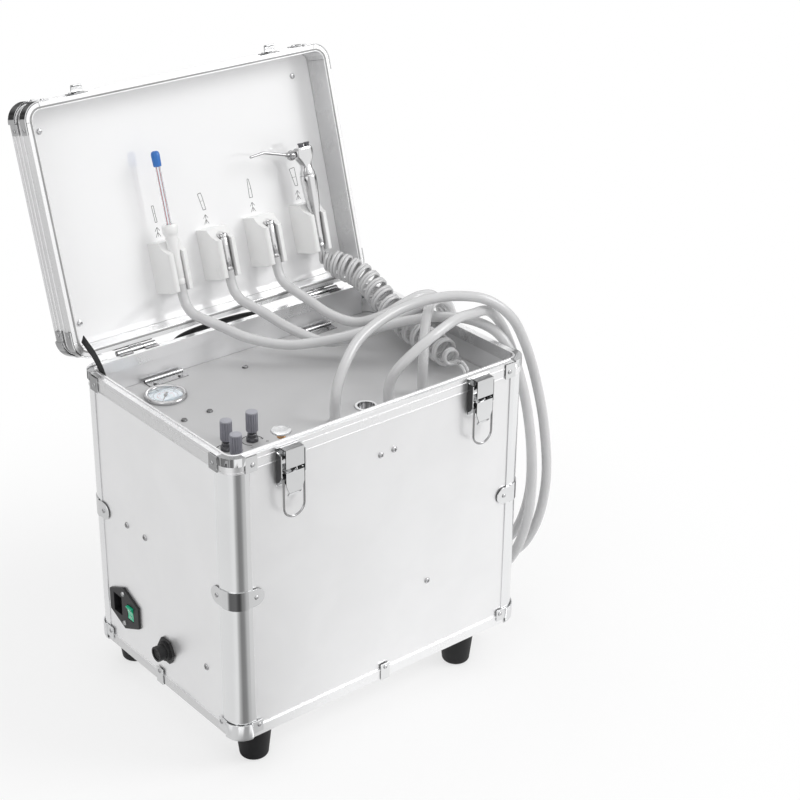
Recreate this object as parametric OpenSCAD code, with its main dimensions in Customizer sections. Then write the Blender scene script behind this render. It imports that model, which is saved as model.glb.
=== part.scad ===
// Portable dental unit: an aluminium-edged case with a deck of controls in its
// mouth, a lid that carries four instruments, and hoses that hang over the rim.

/* [Case] */
// Width of the case across its front
case_w = 420; // [400:5:440]
// Depth of the case from front to back
case_d = 292; // [280:2:304]
// Height of the case without its feet
case_h = 356; // [340:2:380]
// Outer radius of the upright corners
corner_r = 20; // [18:0.5:22]
// Thickness of the wall, panel and edging together
wall_t = 8; // [7:0.5:9]
// Thickness of the aluminium edging over the panels
edge_t = 1.2; // [1:0.1:1.4]
// Height of the rim extrusion on the outside
rim_h = 18; // [14:1:22]
// Height of the base extrusion on the outside
base_h = 13; // [10:1:16]
// Height of the rubber feet
foot_h = 40; // [32:1:44]
// Radius of a foot where it meets the case
foot_r = 21; // [18:0.5:22]

/* [Lid] */
// Depth of the lid from its rim to its skin
lid_t = 42; // [38:1:50]
// Angle of the lid from closed, as it stands open
lid_open = 106; // [0:1:108]
// Distance from the rear face to the hinge pin
pin_out = 5.5; // [5:0.1:6]
// Gap between the two rims when the lid is closed
rim_gap = 1.5; // [1.4:0.1:2]
// Distance of the hinges and latches from the middle
hinge_x = 134; // [120:1:145]

/* [Deck] */
// Depth of the deck below the rim
deck_drop = 38; // [36:1:44]
// Outer diameter of the pressure gauge
gauge_d = 50; // [46:1:54]
// Diameter of a valve knob
knob_d = 15.5; // [14:0.5:17]
// Height of a valve knob
knob_h = 27; // [24:1:28]
// Diameter of the changeover button
button_d = 23; // [20:1:26]

/* [Instruments] */
// Distance from one instrument holder to the next
holder_step = 69; // [60:1:70]
// Height of a holder along the lid
holder_h = 61; // [56:1:62]
// Distance that a holder stands out from the lid panel
holder_out = 36; // [34:1:36]
// Distance from the lid panel to the axis of an instrument
tool_out = 28; // [26:1:28]
// Outer diameter of the handpiece and suction hoses
hose_d = 12; // [10:0.5:12]
// Diameter of each of the twin tubes of the curly hose
curl_tube_d = 4.2; // [3.6:0.1:4.4]

/* [Hidden] */

// The origin is the middle of the footprint of the whole open unit, on the ground.
case_x = 5;
case_y = -58;
half_w = case_w / 2;
half_d = case_d / 2;
deck_z = case_h - deck_drop;
deck_t = 2;
post_x = half_w - corner_r;
post_y = half_d - corner_r;
post_lap = 6;
panel_t = wall_t - edge_t;
mid_z = 182;
pin_y = half_d + pin_out;
pin_z = case_h;
skin_t = 4;
lid_flange_t = 1.5;
liner_t = 2;
liner_z = lid_t - skin_t - liner_t;
lid_z = case_h + rim_gap;
seam = 0.2;
round_fn = 48;
small_fn = 24;
rivet_fn = 8;

// Everything is drawn in the case's own frame: X to the right, Y to the back, and
// Z up from the underside of the case. This moves it to where it stands.
module placed() {
    translate([case_x, case_y, foot_h]) children();
}

// The same, for a piece of the lid drawn closed: the lid turns open on its pin.
module in_lid() {
    placed()
        translate([0, pin_y, pin_z])
            rotate([-lid_open, 0, 0])
                translate([0, -pin_y, -pin_z]) children();
}

// Rounded rectangle of true arcs.
module rounded_rect(w, d, r) {
    square([w - 2 * r, d], center = true);
    square([w, d - 2 * r], center = true);
    for (sx = [-1, 1], sy = [-1, 1])
        translate([sx * (w / 2 - r), sy * (d / 2 - r)]) circle(r, $fn = round_fn);
}

// A ring that follows the case's outline, from one inset to another.
module outline_ring(h, inset_out, inset_in) {
    linear_extrude(h)
        difference() {
            rounded_rect(case_w - 2 * inset_out, case_d - 2 * inset_out,
                         corner_r - inset_out);
            rounded_rect(case_w - 2 * inset_in, case_d - 2 * inset_in,
                         max(corner_r - inset_in, 4));
        }
}

// Cuts a ring into four rails and four corner lengths, with a fine joint between them.
module cut_at_corners() {
    reach = 2 * (case_h + lid_t);
    difference() {
        union() children();
        for (s = [-1, 1]) {
            translate([s * post_x - seam / 2, -half_d - 2, -1]) cube([seam, case_d + 4, reach]);
            translate([-half_w - 2, s * post_y - seam / 2, -1]) cube([case_w + 4, seam, reach]);
        }
    }
}

// Children at the four corners, each drawn for the corner at +X +Y.
module four_corners() {
    for (sx = [0, 1], sy = [0, 1]) mirror([sx, 0, 0]) mirror([0, sy, 0]) children();
}

// Children on the left and the right.
module both_sides() {
    for (sx = [0, 1]) mirror([sx, 0, 0]) children();
}

// A rivet head on a face whose outward direction is the local Z.
module rivet(r = 2.8, h = 1.4) {
    cylinder(h = h, r = r, $fn = rivet_fn);
}

// Turns local Z to the outward direction of each kind of face.
module face_right() { rotate([90, 0, 90]) children(); }
module face_left() { rotate([90, 0, -90]) children(); }
module face_front() { rotate([90, 0, 0]) children(); }
module face_back() { rotate([90, 0, 180]) children(); }

// ---- Case shell ----

module wall_panel(length) {
    translate([-length / 2, 0, edge_t + seam])
        cube([length, panel_t, case_h - 2 - edge_t - 2 * seam]);
}

module front_panel() {
    color("gainsboro") placed()
        translate([0, -half_d + edge_t, 0]) wall_panel(2 * post_x - seam);
}

module rear_panel() {
    color("gainsboro") placed()
        translate([0, half_d - wall_t, 0]) wall_panel(2 * post_x - seam);
}

// Inlet opening and socket hole on the left wall, as places along Y and Z.
inlet_y = 82;
inlet_z = 65;
inlet_cut = [50, 30];
socket_y = -6;
socket_z = 52;
socket_r = 9.5;

module left_panel() {
    color("gainsboro") placed()
        difference() {
            translate([-half_w + edge_t, 0, 0]) rotate([0, 0, -90])
                wall_panel(2 * post_y - seam);
            translate([-half_w, inlet_y - inlet_cut[0] / 2, inlet_z - inlet_cut[1] / 2])
                cube([3 * wall_t, inlet_cut[0], inlet_cut[1]]);
            translate([-half_w - 1, socket_y, socket_z]) rotate([0, 90, 0])
                cylinder(h = 3 * wall_t, r = socket_r + 0.2, $fn = round_fn);
        }
}

module right_panel() {
    color("gainsboro") placed()
        translate([half_w - edge_t, 0, 0]) rotate([0, 0, 90])
            wall_panel(2 * post_y - seam);
}

module floor_panel() {
    color("gainsboro") placed()
        translate([0, 0, edge_t + seam]) linear_extrude(panel_t)
            rounded_rect(case_w - 2 * wall_t - seam, case_d - 2 * wall_t - seam,
                         corner_r - wall_t);
}

// Quarter-round post with a lap over the panel on each side.
module corner_posts() {
    post_z = base_h + seam;
    post_len = case_h - rim_h - base_h - 2 * seam;
    color("silver") placed()
        four_corners()
            translate([post_x, post_y, post_z]) {
                difference() {
                    cylinder(h = post_len, r = corner_r, $fn = round_fn);
                    translate([0, 0, -1])
                        cylinder(h = post_len + 2, r = corner_r - wall_t, $fn = round_fn);
                    translate([-2 * corner_r, -corner_r - 1, -1])
                        cube([2 * corner_r, 2 * corner_r + 2, post_len + 2]);
                    translate([-corner_r - 1, -2 * corner_r, -1])
                        cube([2 * corner_r + 2, 2 * corner_r, post_len + 2]);
                }
                translate([-post_lap, corner_r - edge_t + 0.02, 0])
                    cube([post_lap + 0.1, edge_t - 0.02, post_len]);
                translate([corner_r - edge_t + 0.02, -post_lap, 0])
                    cube([edge_t - 0.02, post_lap + 0.1, post_len]);
            }
}

// Extrusion round the mouth: outer and inner flanges, a land and two beads.
module rim_frame() {
    land_t = 2;
    inner_h = 14;
    bead = 0.5;
    color("whitesmoke") placed() cut_at_corners() {
        translate([0, 0, case_h - land_t]) outline_ring(land_t, 0, wall_t + edge_t);
        translate([0, 0, case_h - rim_h]) outline_ring(rim_h - land_t, 0, edge_t);
        translate([0, 0, case_h - inner_h])
            outline_ring(inner_h - land_t, wall_t, wall_t + edge_t);
        translate([0, 0, case_h]) outline_ring(0.9, tongue_in, wall_t + edge_t);
        for (z = [case_h - rim_h, case_h - 7])
            translate([0, 0, z]) outline_ring(1.6, -bead, edge_t / 2);
    }
}

// Extrusion round the bottom edge, with a land under the floor.
module base_frame() {
    land_in = 24;
    color("whitesmoke") placed() {
        outline_ring(base_h, 0, edge_t);
        outline_ring(edge_t, 0, land_in);
        translate([0, 0, base_h - 1.6]) outline_ring(1.6, -0.5, edge_t / 2);
    }
}

// A tab of sheet that lies on the +Y face and the +X face next to a corner.
cap_t = 1.1;
cap_off = 0.55;
ball_off = 1.5;
ball_turn = 5.7;
ball_foot = 13.4;
tongue_in = wall_t - 1.4;
module corner_tabs(z, h, length, lap = 0.05) {
    r_in = corner_r + cap_off;
    translate([-length, r_in, z]) cube([length + lap, cap_t, h]);
    translate([r_in, -length, z]) cube([cap_t, length + lap, h]);
}

// A quarter band of sheet round a corner.
module corner_band(z, h, inner, thick) {
    translate([0, 0, z])
        rotate_extrude(angle = 90, $fn = round_fn) translate([inner, 0]) square([thick, h]);
}

module upper_corner_cap() {
    lip_in = corner_r - tongue_in + 0.3;
    translate([0, 0, case_h]) {
        corner_band(-9, 9.9, corner_r + cap_off, cap_t);
        corner_band(0.02, 0.88, lip_in, corner_r + cap_off + cap_t - lip_in);
        corner_tabs(-rim_h - 1, rim_h + 0.4, 15);
    }
}

// Ball corner: a band of sheet that bulges clear of the edge and turns in over it,
// drawn from Z 0 down to its turn.
module ball_band(band_h) {
    r_out = corner_r + ball_off + cap_t;
    bottom = -ball_off - cap_t;
    rotate_extrude(angle = 90, $fn = round_fn)
        difference() {
            union() {
                translate([r_out - ball_turn, bottom + ball_turn])
                    circle(ball_turn, $fn = round_fn);
                translate([r_out - ball_turn, bottom + ball_turn])
                    square([ball_turn, band_h - ball_turn - bottom]);
                translate([ball_foot, bottom]) square([r_out - ball_turn - ball_foot, ball_turn]);
            }
            translate([r_out - ball_turn, bottom + ball_turn])
                circle(ball_turn - cap_t, $fn = round_fn);
            translate([0, bottom + cap_t]) square([r_out - ball_turn, band_h]);
            translate([0, bottom + ball_turn]) square([r_out - cap_t, band_h]);
        }
}

module lower_corner_cap() {
    ball_band(20);
    corner_tabs(6, 15, 14, 1.5);
}

module corner_caps() {
    color("lightgray") placed()
        four_corners() translate([post_x, post_y, 0]) {
            upper_corner_cap();
            lower_corner_cap();
        }
}

// Strap round the middle of a post, with a round tab on each side.
module post_strap() {
    strap_h = 23;
    reach = 10;
    r_in = corner_r + 0.05;
    corner_band(0, strap_h, r_in, cap_t);
    for (side = [0, 1]) mirror([side, -side, 0]) {
        translate([-reach, r_in, 1]) cube([reach + 0.05, cap_t, strap_h - 2]);
        translate([-reach, r_in, strap_h / 2]) rotate([-90, 0, 0])
            cylinder(h = cap_t, r = strap_h / 2 - 1, $fn = small_fn);
    }
}

// A clip on the middle of each lower edge.
clip_w = 13;
clip_h = 21;
module edge_clip() {
    translate([-clip_w / 2, -cap_off - cap_t, -cap_off - cap_t])
        cube([clip_w, cap_t, clip_h]);
    translate([-clip_w / 2, -cap_off - cap_t, -cap_off - cap_t])
        cube([clip_w, clip_w, cap_t]);
}

clip_left_y = 10;
module straps_and_clips() {
    color("lightgray") placed() {
        four_corners() translate([post_x, post_y, mid_z - 11.5]) post_strap();
        translate([0, -half_d, 0]) edge_clip();
        translate([0, half_d, 0]) rotate([0, 0, 180]) edge_clip();
        translate([-half_w, clip_left_y, 0]) rotate([0, 0, -90]) edge_clip();
        translate([half_w, clip_left_y, 0]) rotate([0, 0, 90]) edge_clip();
    }
}

module case_rivets() {
    top = cap_off + cap_t;
    placed() {
        four_corners() {
            for (z = [case_h - rim_h / 2 - 2, 15.5]) {
                translate([post_x - 9, half_d + top, z]) face_back() rivet();
                translate([half_w + top, post_y - 9, z]) face_right() rivet();
            }
            translate([post_x - 10, half_d + 0.05 + cap_t, mid_z]) face_back() rivet();
            translate([half_w + 0.05 + cap_t, post_y - 10, mid_z]) face_right() rivet();
        }
        for (s = [-1, 1]) {
            translate([0, s * (half_d + top), clip_h - 6]) rotate([0, 0, s > 0 ? 180 : 0])
                face_front() rivet();
            translate([s * (half_w + top), clip_left_y, clip_h - 6])
                rotate([0, 0, s > 0 ? 0 : 180]) face_right() rivet();
        }
    }
}

// Pan-head screws: three through the front and three through the left wall.
front_screws = [[-7, 298], [12, 299], [64, 108]];
left_screws = [[68, 184], [30, 185], [-87, 72]];
module pan_head(r = 4) {
    cylinder(h = 0.8, r = r, $fn = small_fn);
    cylinder(h = 2, r = r * 0.8, $fn = small_fn);
}

module case_screws() {
    placed() {
        for (p = front_screws)
            translate([p[0], -half_d + edge_t, p[1]]) face_front() pan_head();
        for (p = left_screws)
            translate([-half_w + edge_t, p[0], p[1]]) face_left() pan_head();
    }
}

module case_fasteners() {
    color("silver") {
        case_rivets();
        case_screws();
    }
}

// Rubber feet: the right pair stand further in than the left pair.
foot_places = [[-174, -125], [-174, 125], [130, -125], [130, 125]];
module feet() {
    tip_r = foot_r - 4;
    edge = 5;
    color("black") placed()
        for (p = foot_places)
            translate([p[0], p[1], -foot_h]) rotate_extrude($fn = round_fn) {
                polygon([[0, 0], [tip_r - edge, 0], [tip_r, edge],
                         [foot_r, foot_h], [0, foot_h]]);
                intersection() {
                    translate([tip_r - edge, edge]) circle(edge, $fn = round_fn);
                    square([foot_r, foot_h]);
                }
            }
}

// ---- Inside the case ----

floor_z = edge_t + panel_t + 2 * seam;

// Twin-cylinder oil-free compressor: a motor between two finned cylinders, on a
// base plate with rubber mounts.
module compressor() {
    motor_r = 48;
    motor_len = 124;
    axis_z = 78;
    crank = [34, 66, 96];
    fins = 7;
    fin_pitch = 8;
    head_z = 20 + crank[2] + fins * fin_pitch;
    color("dimgray") placed() translate([-65, -45, floor_z]) {
        translate([-motor_len / 2, 0, axis_z]) rotate([0, 90, 0])
            cylinder(h = motor_len, r = motor_r, $fn = round_fn);
        translate([-96, -45, 14]) cube([192, 90, 7]);
        for (s = [-1, 1]) translate([s * 76, 0, 0]) {
            translate([-crank[0] / 2, -crank[1] / 2, 20]) cube(crank);
            translate([0, 0, 19 + crank[2]]) cylinder(h = head_z - 18 - crank[2], r = 15,
                                                     $fn = round_fn);
            for (i = [0 : fins - 1])
                translate([-20, -36, 20 + crank[2] + 3 + i * fin_pitch]) cube([40, 72, 3.5]);
            translate([-20, -36, head_z]) cube([40, 72, 12]);
        }
        for (x = [-80, 80], y = [-34, 34]) translate([x, y, 0])
            cylinder(h = 14.5, r = 9, $fn = round_fn);
    }
}

// Receiver that steadies the air pressure, on two saddles.
module air_tank() {
    tank_r = 40;
    body = 150;
    color("white") placed() translate([-65, 72, floor_z + tank_r + 16]) rotate([0, 90, 0]) {
        translate([0, 0, -body / 2]) rotate_extrude($fn = round_fn)
            polygon([[0, -14], [18, -12], [32, -7], [tank_r, 2], [tank_r, body - 2],
                     [32, body + 7], [18, body + 12], [0, body + 14]]);
        for (z = [-50, 42]) translate([16, -28, z]) cube([tank_r, 56, 8]);
    }
}

// Clean-water bottle in front and waste bottle behind it, each with its cap.
module fluid_bottles() {
    bottle_r = 38;
    bottle_h = 185;
    color("white", 0.6) placed()
        for (y = [-62, 48]) translate([145, y, floor_z]) rotate_extrude($fn = round_fn)
            polygon([[0, 0], [bottle_r - 4, 0], [bottle_r, 4], [bottle_r, bottle_h - 40],
                     [24, bottle_h - 18], [24, bottle_h - 14], [28, bottle_h - 14],
                     [28, bottle_h + 6], [0, bottle_h + 6]]);
}

// ---- Sockets on the left wall ----

// The flange is a long hexagon with a mains socket at the rear and a rocker in front.
flange_w = 62;
flange_h = 56;
flange_side = 28;
flange_t = 3;
mains = [25, 17.5];
mains_y = 17.5;
rocker_y = -14;
rocker_size = [13, 21];

module power_inlet() {
    body_depth = 26;
    color("black") placed()
        translate([-half_w + edge_t, inlet_y, inlet_z]) face_left() mirror([1, 0, 0])
            difference() {
                union() {
                    linear_extrude(flange_t)
                        polygon([[-flange_w / 2, -flange_side / 2], [0, -flange_h / 2],
                                 [flange_w / 2, -flange_side / 2],
                                 [flange_w / 2, flange_side / 2], [0, flange_h / 2],
                                 [-flange_w / 2, flange_side / 2]]);
                    translate([-inlet_cut[0] / 2 + 0.3, -inlet_cut[1] / 2 + 0.3, -body_depth])
                        cube([inlet_cut[0] - 0.6, inlet_cut[1] - 0.6, body_depth + 1]);
                }
                translate([mains_y - mains[1] / 2 - 4, -mains[0] / 2, -15])
                    cube([mains[1], mains[0], 20]);
                translate([rocker_y - rocker_size[0] / 2, -rocker_size[1] / 2, -10])
                    cube([rocker_size[0], rocker_size[1], 15]);
                for (s = [-1, 1]) translate([0, s * 20, -1])
                    cylinder(h = 6, r = 1.7, $fn = small_fn);
            }
}

// Three blades in the socket and the two screws of the flange.
module inlet_pins() {
    blade = [4, 2];
    color("silver") placed()
        translate([-half_w + edge_t, inlet_y, inlet_z]) face_left() mirror([1, 0, 0]) {
            for (p = [[0, 0], [-4, 7], [-4, -7]])
                translate([mains_y - 4 + p[0] - blade[1] / 2 + 2, p[1] - blade[0] / 2, -15])
                    cube([blade[1], blade[0], 12]);
            for (s = [-1, 1]) translate([0, s * 20, flange_t]) pan_head(3.2);
            for (s = [-1, 1]) translate([0, s * 20, 0.05])
                cylinder(h = flange_t, r = 1.65, $fn = small_fn);
        }
}

// Rocker: a shallow wedge that tips about its middle. It rests with its top pressed.
rocker_tilt = 10;
module rocker_switch() {
    length = rocker_size[1] - 2.4;
    color("seagreen") placed()
        translate([-half_w + edge_t, inlet_y, inlet_z]) face_left() mirror([1, 0, 0])
            translate([rocker_y, 0, 1]) rotate([rocker_tilt, 0, 0])
                translate([-rocker_size[0] / 2 + 0.5, 0, 0]) rotate([90, 0, 90])
                    linear_extrude(rocker_size[0] - 1)
                        difference() {
                            polygon([[-length / 2, 0], [-3, -5], [3, -5], [length / 2, 0],
                                     [length / 2, 3.4], [0, 1.6], [-length / 2, 3.4]]);
                            circle(1, $fn = small_fn);
                        }
}

// Round socket for the foot control: hexagonal flange, ring nut, barrel and contacts.
plug_r = 9.3;
plug_end = 16;
socket_recess = 12;
module footswitch_socket() {
    flange = 3.5;
    nut = 3.5;
    color("black") placed()
        translate([-half_w + edge_t, socket_y, socket_z]) face_left() {
            difference() {
                union() {
                    cylinder(h = flange, r = 16.5, $fn = 6);
                    translate([0, 0, flange - 0.1]) cylinder(h = nut, r = 11.6, $fn = round_fn);
                    translate([0, 0, -16])
                        cylinder(h = 16 + plug_end, r = plug_r, $fn = round_fn);
                }
                translate([0, 0, plug_end - socket_recess])
                    cylinder(h = socket_recess + 1, r = 7, $fn = round_fn);
            }
            for (a = [45 : 90 : 315]) rotate([0, 0, a])
                translate([3.6, 0, plug_end - socket_recess - 0.5])
                    cylinder(h = 5.5, r = 0.9, $fn = rivet_fn);
        }
}

// ---- Draw latches ----

// A latch stands on the front face: out is the distance from that face.
latch_top = 2;
lever_pin = [6, -30];
lever_pin_r = 1.3;
bail_pin = [9, -37.5];
latch_front = 10.7;
cheek_x = 15.2;
cheek_t = 1.2;
ear_x = 10.6;
bail_x = 13.6;
wire_r = 1.2;
bail_len = 47;
pin_gap = 0.08;

// Children in the latch's frame: X along the case, Y down to the face, Z up.
module latch_frame(side) {
    placed() translate([side * hinge_x, -half_d - 0.5, case_h]) children();
}

module latch_base() {
    base_h2 = 44;
    w = 2 * (cheek_x + cheek_t);
    translate([-w / 2, -cheek_t, -latch_top - base_h2]) cube([w, cheek_t, base_h2]);
    both_sides() translate([cheek_x, 0, 0]) rotate([90, 0, 90]) linear_extrude(cheek_t)
        polygon([[0, -latch_top - 4], [-9, -latch_top - 6], [-9, -34],
                 [-6, -40], [0, -latch_top - base_h2 + 2]]);
    difference() {
        translate([-12, -latch_front - 1.2, -24]) cube([24, latch_front + 1.2, 24 - latch_top]);
        translate([-13, -latch_front, -25]) cube([26, latch_front - 1.2, 25 - latch_top - 1.2]);
    }
    both_sides() translate([ear_x - 0.4, -lever_pin[0], lever_pin[1]]) rotate([0, 90, 0])
        cylinder(h = cheek_x - ear_x + 0.5, r = lever_pin_r, $fn = small_fn);
    for (s = [-1, 1], z = [-9, -31]) translate([s * 6, -cheek_t, z])
        rotate([90, 0, 0]) cylinder(h = 0.9, r = 2.2, $fn = rivet_fn);
}

module latch_bases() {
    color("silver") {
        latch_frame(-1) latch_base();
        latch_frame(1) latch_base();
    }
}

// Lever: a plate with a turned-out lip, and two ears that reach back to its pin.
module latch_lever() {
    plate_top = -28.9;
    plate_end = -54;
    plate_y = -latch_front + 0.2;
    difference() {
        union() {
            translate([0, plate_y, 0]) rotate([90, 0, 0]) linear_extrude(1.2)
                polygon([[-11.8, plate_top], [11.8, plate_top], [11.8, -44],
                         [8, plate_end], [-8, plate_end], [-11.8, -44]]);
            translate([-8, plate_y, plate_end]) rotate([35, 0, 0])
                translate([0, -1.2, -5]) cube([16, 1.2, 5.4]);
            both_sides() translate([ear_x, 0, 0]) rotate([90, 0, 90]) linear_extrude(1.2) {
                polygon([[plate_y - 0.1, plate_top], [plate_y - 0.1, -43], [-7.6, -41],
                         [-3.6, -31], [-3.6, -29], [-6, -28.2]]);
                translate([-lever_pin[0], lever_pin[1]]) circle(2.5, $fn = small_fn);
            }
        }
        both_sides() {
            translate([ear_x - 1, -bail_pin[0], bail_pin[1]]) rotate([0, 90, 0])
                cylinder(h = 4, r = wire_r + pin_gap, $fn = small_fn);
            translate([ear_x - 1, -lever_pin[0], lever_pin[1]]) rotate([0, 90, 0])
                cylinder(h = 4, r = lever_pin_r + pin_gap, $fn = small_fn);
        }
    }
}

module latch_lever_left() { color("silver") latch_frame(-1) latch_lever(); }
module latch_lever_right() { color("silver") latch_frame(1) latch_lever(); }

// Bail: a loop of wire whose ends turn in through the lever's ears.
module latch_bail() {
    leg = bail_len - bail_x;
    translate([0, -bail_pin[0], bail_pin[1]]) {
        both_sides() {
            translate([ear_x - 0.6, 0, 0]) rotate([0, 90, 0])
                cylinder(h = bail_x - ear_x + 0.6, r = wire_r, $fn = small_fn);
            translate([bail_x, 0, -leg]) cylinder(h = leg + 1.6, r = wire_r + 0.1, $fn = small_fn);
        }
        translate([0, 0, -leg]) rotate([-90, 0, 0])
            rotate_extrude(angle = 180, $fn = small_fn * 2)
                translate([bail_x, 0]) circle(wire_r + 0.1, $fn = small_fn);
    }
}

module latch_bail_left() { color("silver") latch_frame(-1) latch_bail(); }
module latch_bail_right() { color("silver") latch_frame(1) latch_bail(); }

// ---- Lid hinges and handle ----

leaf_w = 52;
leaf_t = 1.2;
barrel_r = 3.4;
hinge_pin_r = 1.5;
knuckle = 17.4;
knuckle_gap = 0.15;

// A leaf that lies on the rear face and bends out to the barrel.
module leaf_plate(w, h) {
    translate([-w / 2, half_d + 0.6, case_h - h]) cube([w, leaf_t, h - 2]);
    translate([-w / 2, half_d + 0.6, case_h - 3]) cube([w, pin_out - barrel_r + 0.9, leaf_t]);
}

module barrel(x0, x1) {
    translate([x0, pin_y, pin_z]) rotate([0, 90, 0])
        difference() {
            cylinder(h = x1 - x0, r = barrel_r, $fn = small_fn * 2);
            translate([0, 0, -1])
                cylinder(h = x1 - x0 + 2, r = hinge_pin_r + 0.05, $fn = small_fn * 2);
        }
}

module hinge_leaves_case() {
    out = (leaf_w - knuckle) / 2;
    top_d = 6.4;
    color("silver") placed()
        for (s = [-1, 1]) translate([s * hinge_x, 0, 0]) {
            translate([-leaf_w / 2, half_d + 0.6, case_h - 24]) cube([leaf_w, leaf_t, 22]);
            for (e = [-1, 1])
                translate([e * (knuckle + out) / 2 - (out - knuckle_gap) / 2, 0, 0]) {
                    translate([0, half_d + 0.6, case_h - 2.9])
                        cube([out - knuckle_gap, pin_out - 0.6, leaf_t]);
                    translate([0, half_d - top_d + leaf_t + 0.6, case_h + 0.05])
                        cube([out - knuckle_gap, top_d, 0.9]);
                    translate([0, half_d + 0.6, case_h - 2.9])
                        cube([out - knuckle_gap, leaf_t, 3.8]);
                    barrel(0, out - knuckle_gap);
                }
            for (e = [-1, 1]) {
                translate([e * 18, half_d + 0.6 + leaf_t, case_h - 15]) face_back() rivet();
                translate([e * 18, half_d - 1.5, case_h + 0.9])
                    cylinder(h = 0.35, r = 1.8, $fn = rivet_fn);
            }
        }
}

module hinge_leaves_lid() {
    color("silver") in_lid()
        for (s = [-1, 1]) translate([s * hinge_x, 0, 0]) {
            translate([-leaf_w / 2, half_d + 0.6, lid_z + 3]) cube([leaf_w, leaf_t, 20]);
            translate([-knuckle / 2 + knuckle_gap, half_d + 0.6, case_h + 0.6])
                cube([knuckle - 2 * knuckle_gap, leaf_t, 6]);
            translate([-knuckle / 2 + knuckle_gap, half_d + 0.6, case_h + 1])
                cube([knuckle - 2 * knuckle_gap, pin_out - 2.2, leaf_t]);
            barrel(-knuckle / 2 + knuckle_gap, knuckle / 2 - knuckle_gap);
            for (e = [-1, 1])
                translate([e * 18, half_d + 0.6 + leaf_t, lid_z + 14]) face_back() rivet();
        }
}

module hinge_pins() {
    color("silver") placed()
        for (s = [-1, 1])
            translate([s * hinge_x - leaf_w / 2 - 0.6, pin_y, pin_z]) rotate([0, 90, 0])
                cylinder(h = leaf_w + 1.2, r = hinge_pin_r, $fn = small_fn * 2);
}

// Bow handle on the rear wall: a grip on two arms, with a foot plate at each end.
handle_half = 78;
handle_out = 32;
handle_z = 329;
grip_r = 8;
module carry_handle() {
    bend_r = 20;
    color("black") placed()
        translate([0, half_d - edge_t, handle_z]) {
            translate([-handle_half + bend_r, handle_out, 0]) rotate([0, 90, 0])
                cylinder(h = 2 * (handle_half - bend_r), r = grip_r, $fn = round_fn);
            both_sides() {
                translate([handle_half - bend_r, handle_out - bend_r, 0])
                    rotate_extrude(angle = 90, $fn = round_fn)
                        translate([bend_r, 0]) circle(grip_r, $fn = round_fn);
                translate([handle_half, 2, 0]) rotate([-90, 0, 0])
                    cylinder(h = handle_out - bend_r - 2, r = grip_r, $fn = round_fn);
                translate([handle_half, 0, -5]) rotate([-90, 0, 0])
                    cylinder(h = 3, r = 12, $fn = round_fn);
            }
        }
}

// ---- Deck ----

// Places on the deck, as X and Y from the middle of the case.
gauge_at = [-135, 90];
water_left_at = [-154, -60];
water_right_at = [-120, -60];
air_at = [-164, -93];
changeover_at = [-106, -95];
cup_at = [30, -72];
hose_exits = [[-24, -84], [48, -90], [100, -88]];
curl_exit = [158, -98];
deck_screws = [[-19, 97], [-117, 27], [-152, 26]];

module deck_hole(p, r) {
    translate([p[0], p[1], -1]) cylinder(h = deck_t + 2, r = r, $fn = round_fn);
}

module deck_panel() {
    color("darkgray") placed()
        translate([0, 0, deck_z - deck_t])
            difference() {
                linear_extrude(deck_t)
                    rounded_rect(case_w - 2 * wall_t - 1, case_d - 2 * wall_t - 1,
                                 corner_r - wall_t);
                deck_hole(gauge_at, gauge_d / 2 - 4);
                for (p = [water_left_at, water_right_at, air_at, changeover_at])
                    deck_hole(p, 5.2);
                for (p = hose_exits) deck_hole(p, 7.2);
                deck_hole(curl_exit, 4.7);
                deck_hole(cup_at, 11.2);
            }
}

// Two hinges along the rear edge, each a leaf with a barrel, and the deck's screws.
module deck_hinges() {
    leaf_d = 14;
    color("silver") placed() {
        for (s = [-1, 1]) translate([s * 110, half_d - wall_t - 0.8, deck_z]) {
            translate([-26, -leaf_d - 4, 0]) cube([52, leaf_d, 1.2]);
            translate([-26, -4, 2.2]) rotate([0, 90, 0])
                cylinder(h = 52, r = 2.2, $fn = small_fn);
            for (e = [-1, 1]) translate([e * 17, -leaf_d, 1.2]) pan_head(3);
        }
        for (p = deck_screws) translate([p[0], p[1], deck_z]) pan_head(3.8);
    }
}

// Gauge: a polished bezel over the deck and the can below it.
module gauge_bezel() {
    r = gauge_d / 2;
    lip = 4.4;
    color("silver") placed()
        translate([gauge_at[0], gauge_at[1], deck_z])
            rotate_extrude($fn = 2 * round_fn) {
                difference() {
                    translate([r - lip, 0]) square([lip, 4.6]);
                    translate([r, 4.6]) scale([lip * 0.55, 3]) circle(1, $fn = round_fn);
                }
                translate([r - lip - 0.6, -24]) square([1, 24.5]);
                translate([0, -24]) square([r - lip, 1]);
            }
}

module gauge_dial() {
    color("aliceblue") placed()
        translate([gauge_at[0], gauge_at[1], deck_z - 1.2])
            difference() {
                cylinder(h = 1.2, r = gauge_d / 2 - 5.2, $fn = 2 * round_fn);
                translate([0, 0, -1]) cylinder(h = 4, r = 0.9, $fn = small_fn);
            }
}

// Pointer that rests on the zero mark, at the lower left of the dial.
needle_rest = 225;
module gauge_needle() {
    color("black") placed()
        translate([gauge_at[0], gauge_at[1], deck_z + 0.6]) rotate([0, 0, needle_rest]) {
            linear_extrude(0.5)
                polygon([[-8, -1.5], [0, -1], [16, -0.25], [16, 0.25], [0, 1], [-8, 1.5]]);
            cylinder(h = 1.2, r = 2.2, $fn = small_fn);
            translate([0, 0, -1.6]) cylinder(h = 1.7, r = 0.85, $fn = small_fn);
        }
}

module gauge_glass() {
    color("white", 0.3) placed()
        translate([gauge_at[0], gauge_at[1], deck_z + 2.2])
            cylinder(h = 1.2, r = gauge_d / 2 - 4.45, $fn = 2 * round_fn);
}

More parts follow.
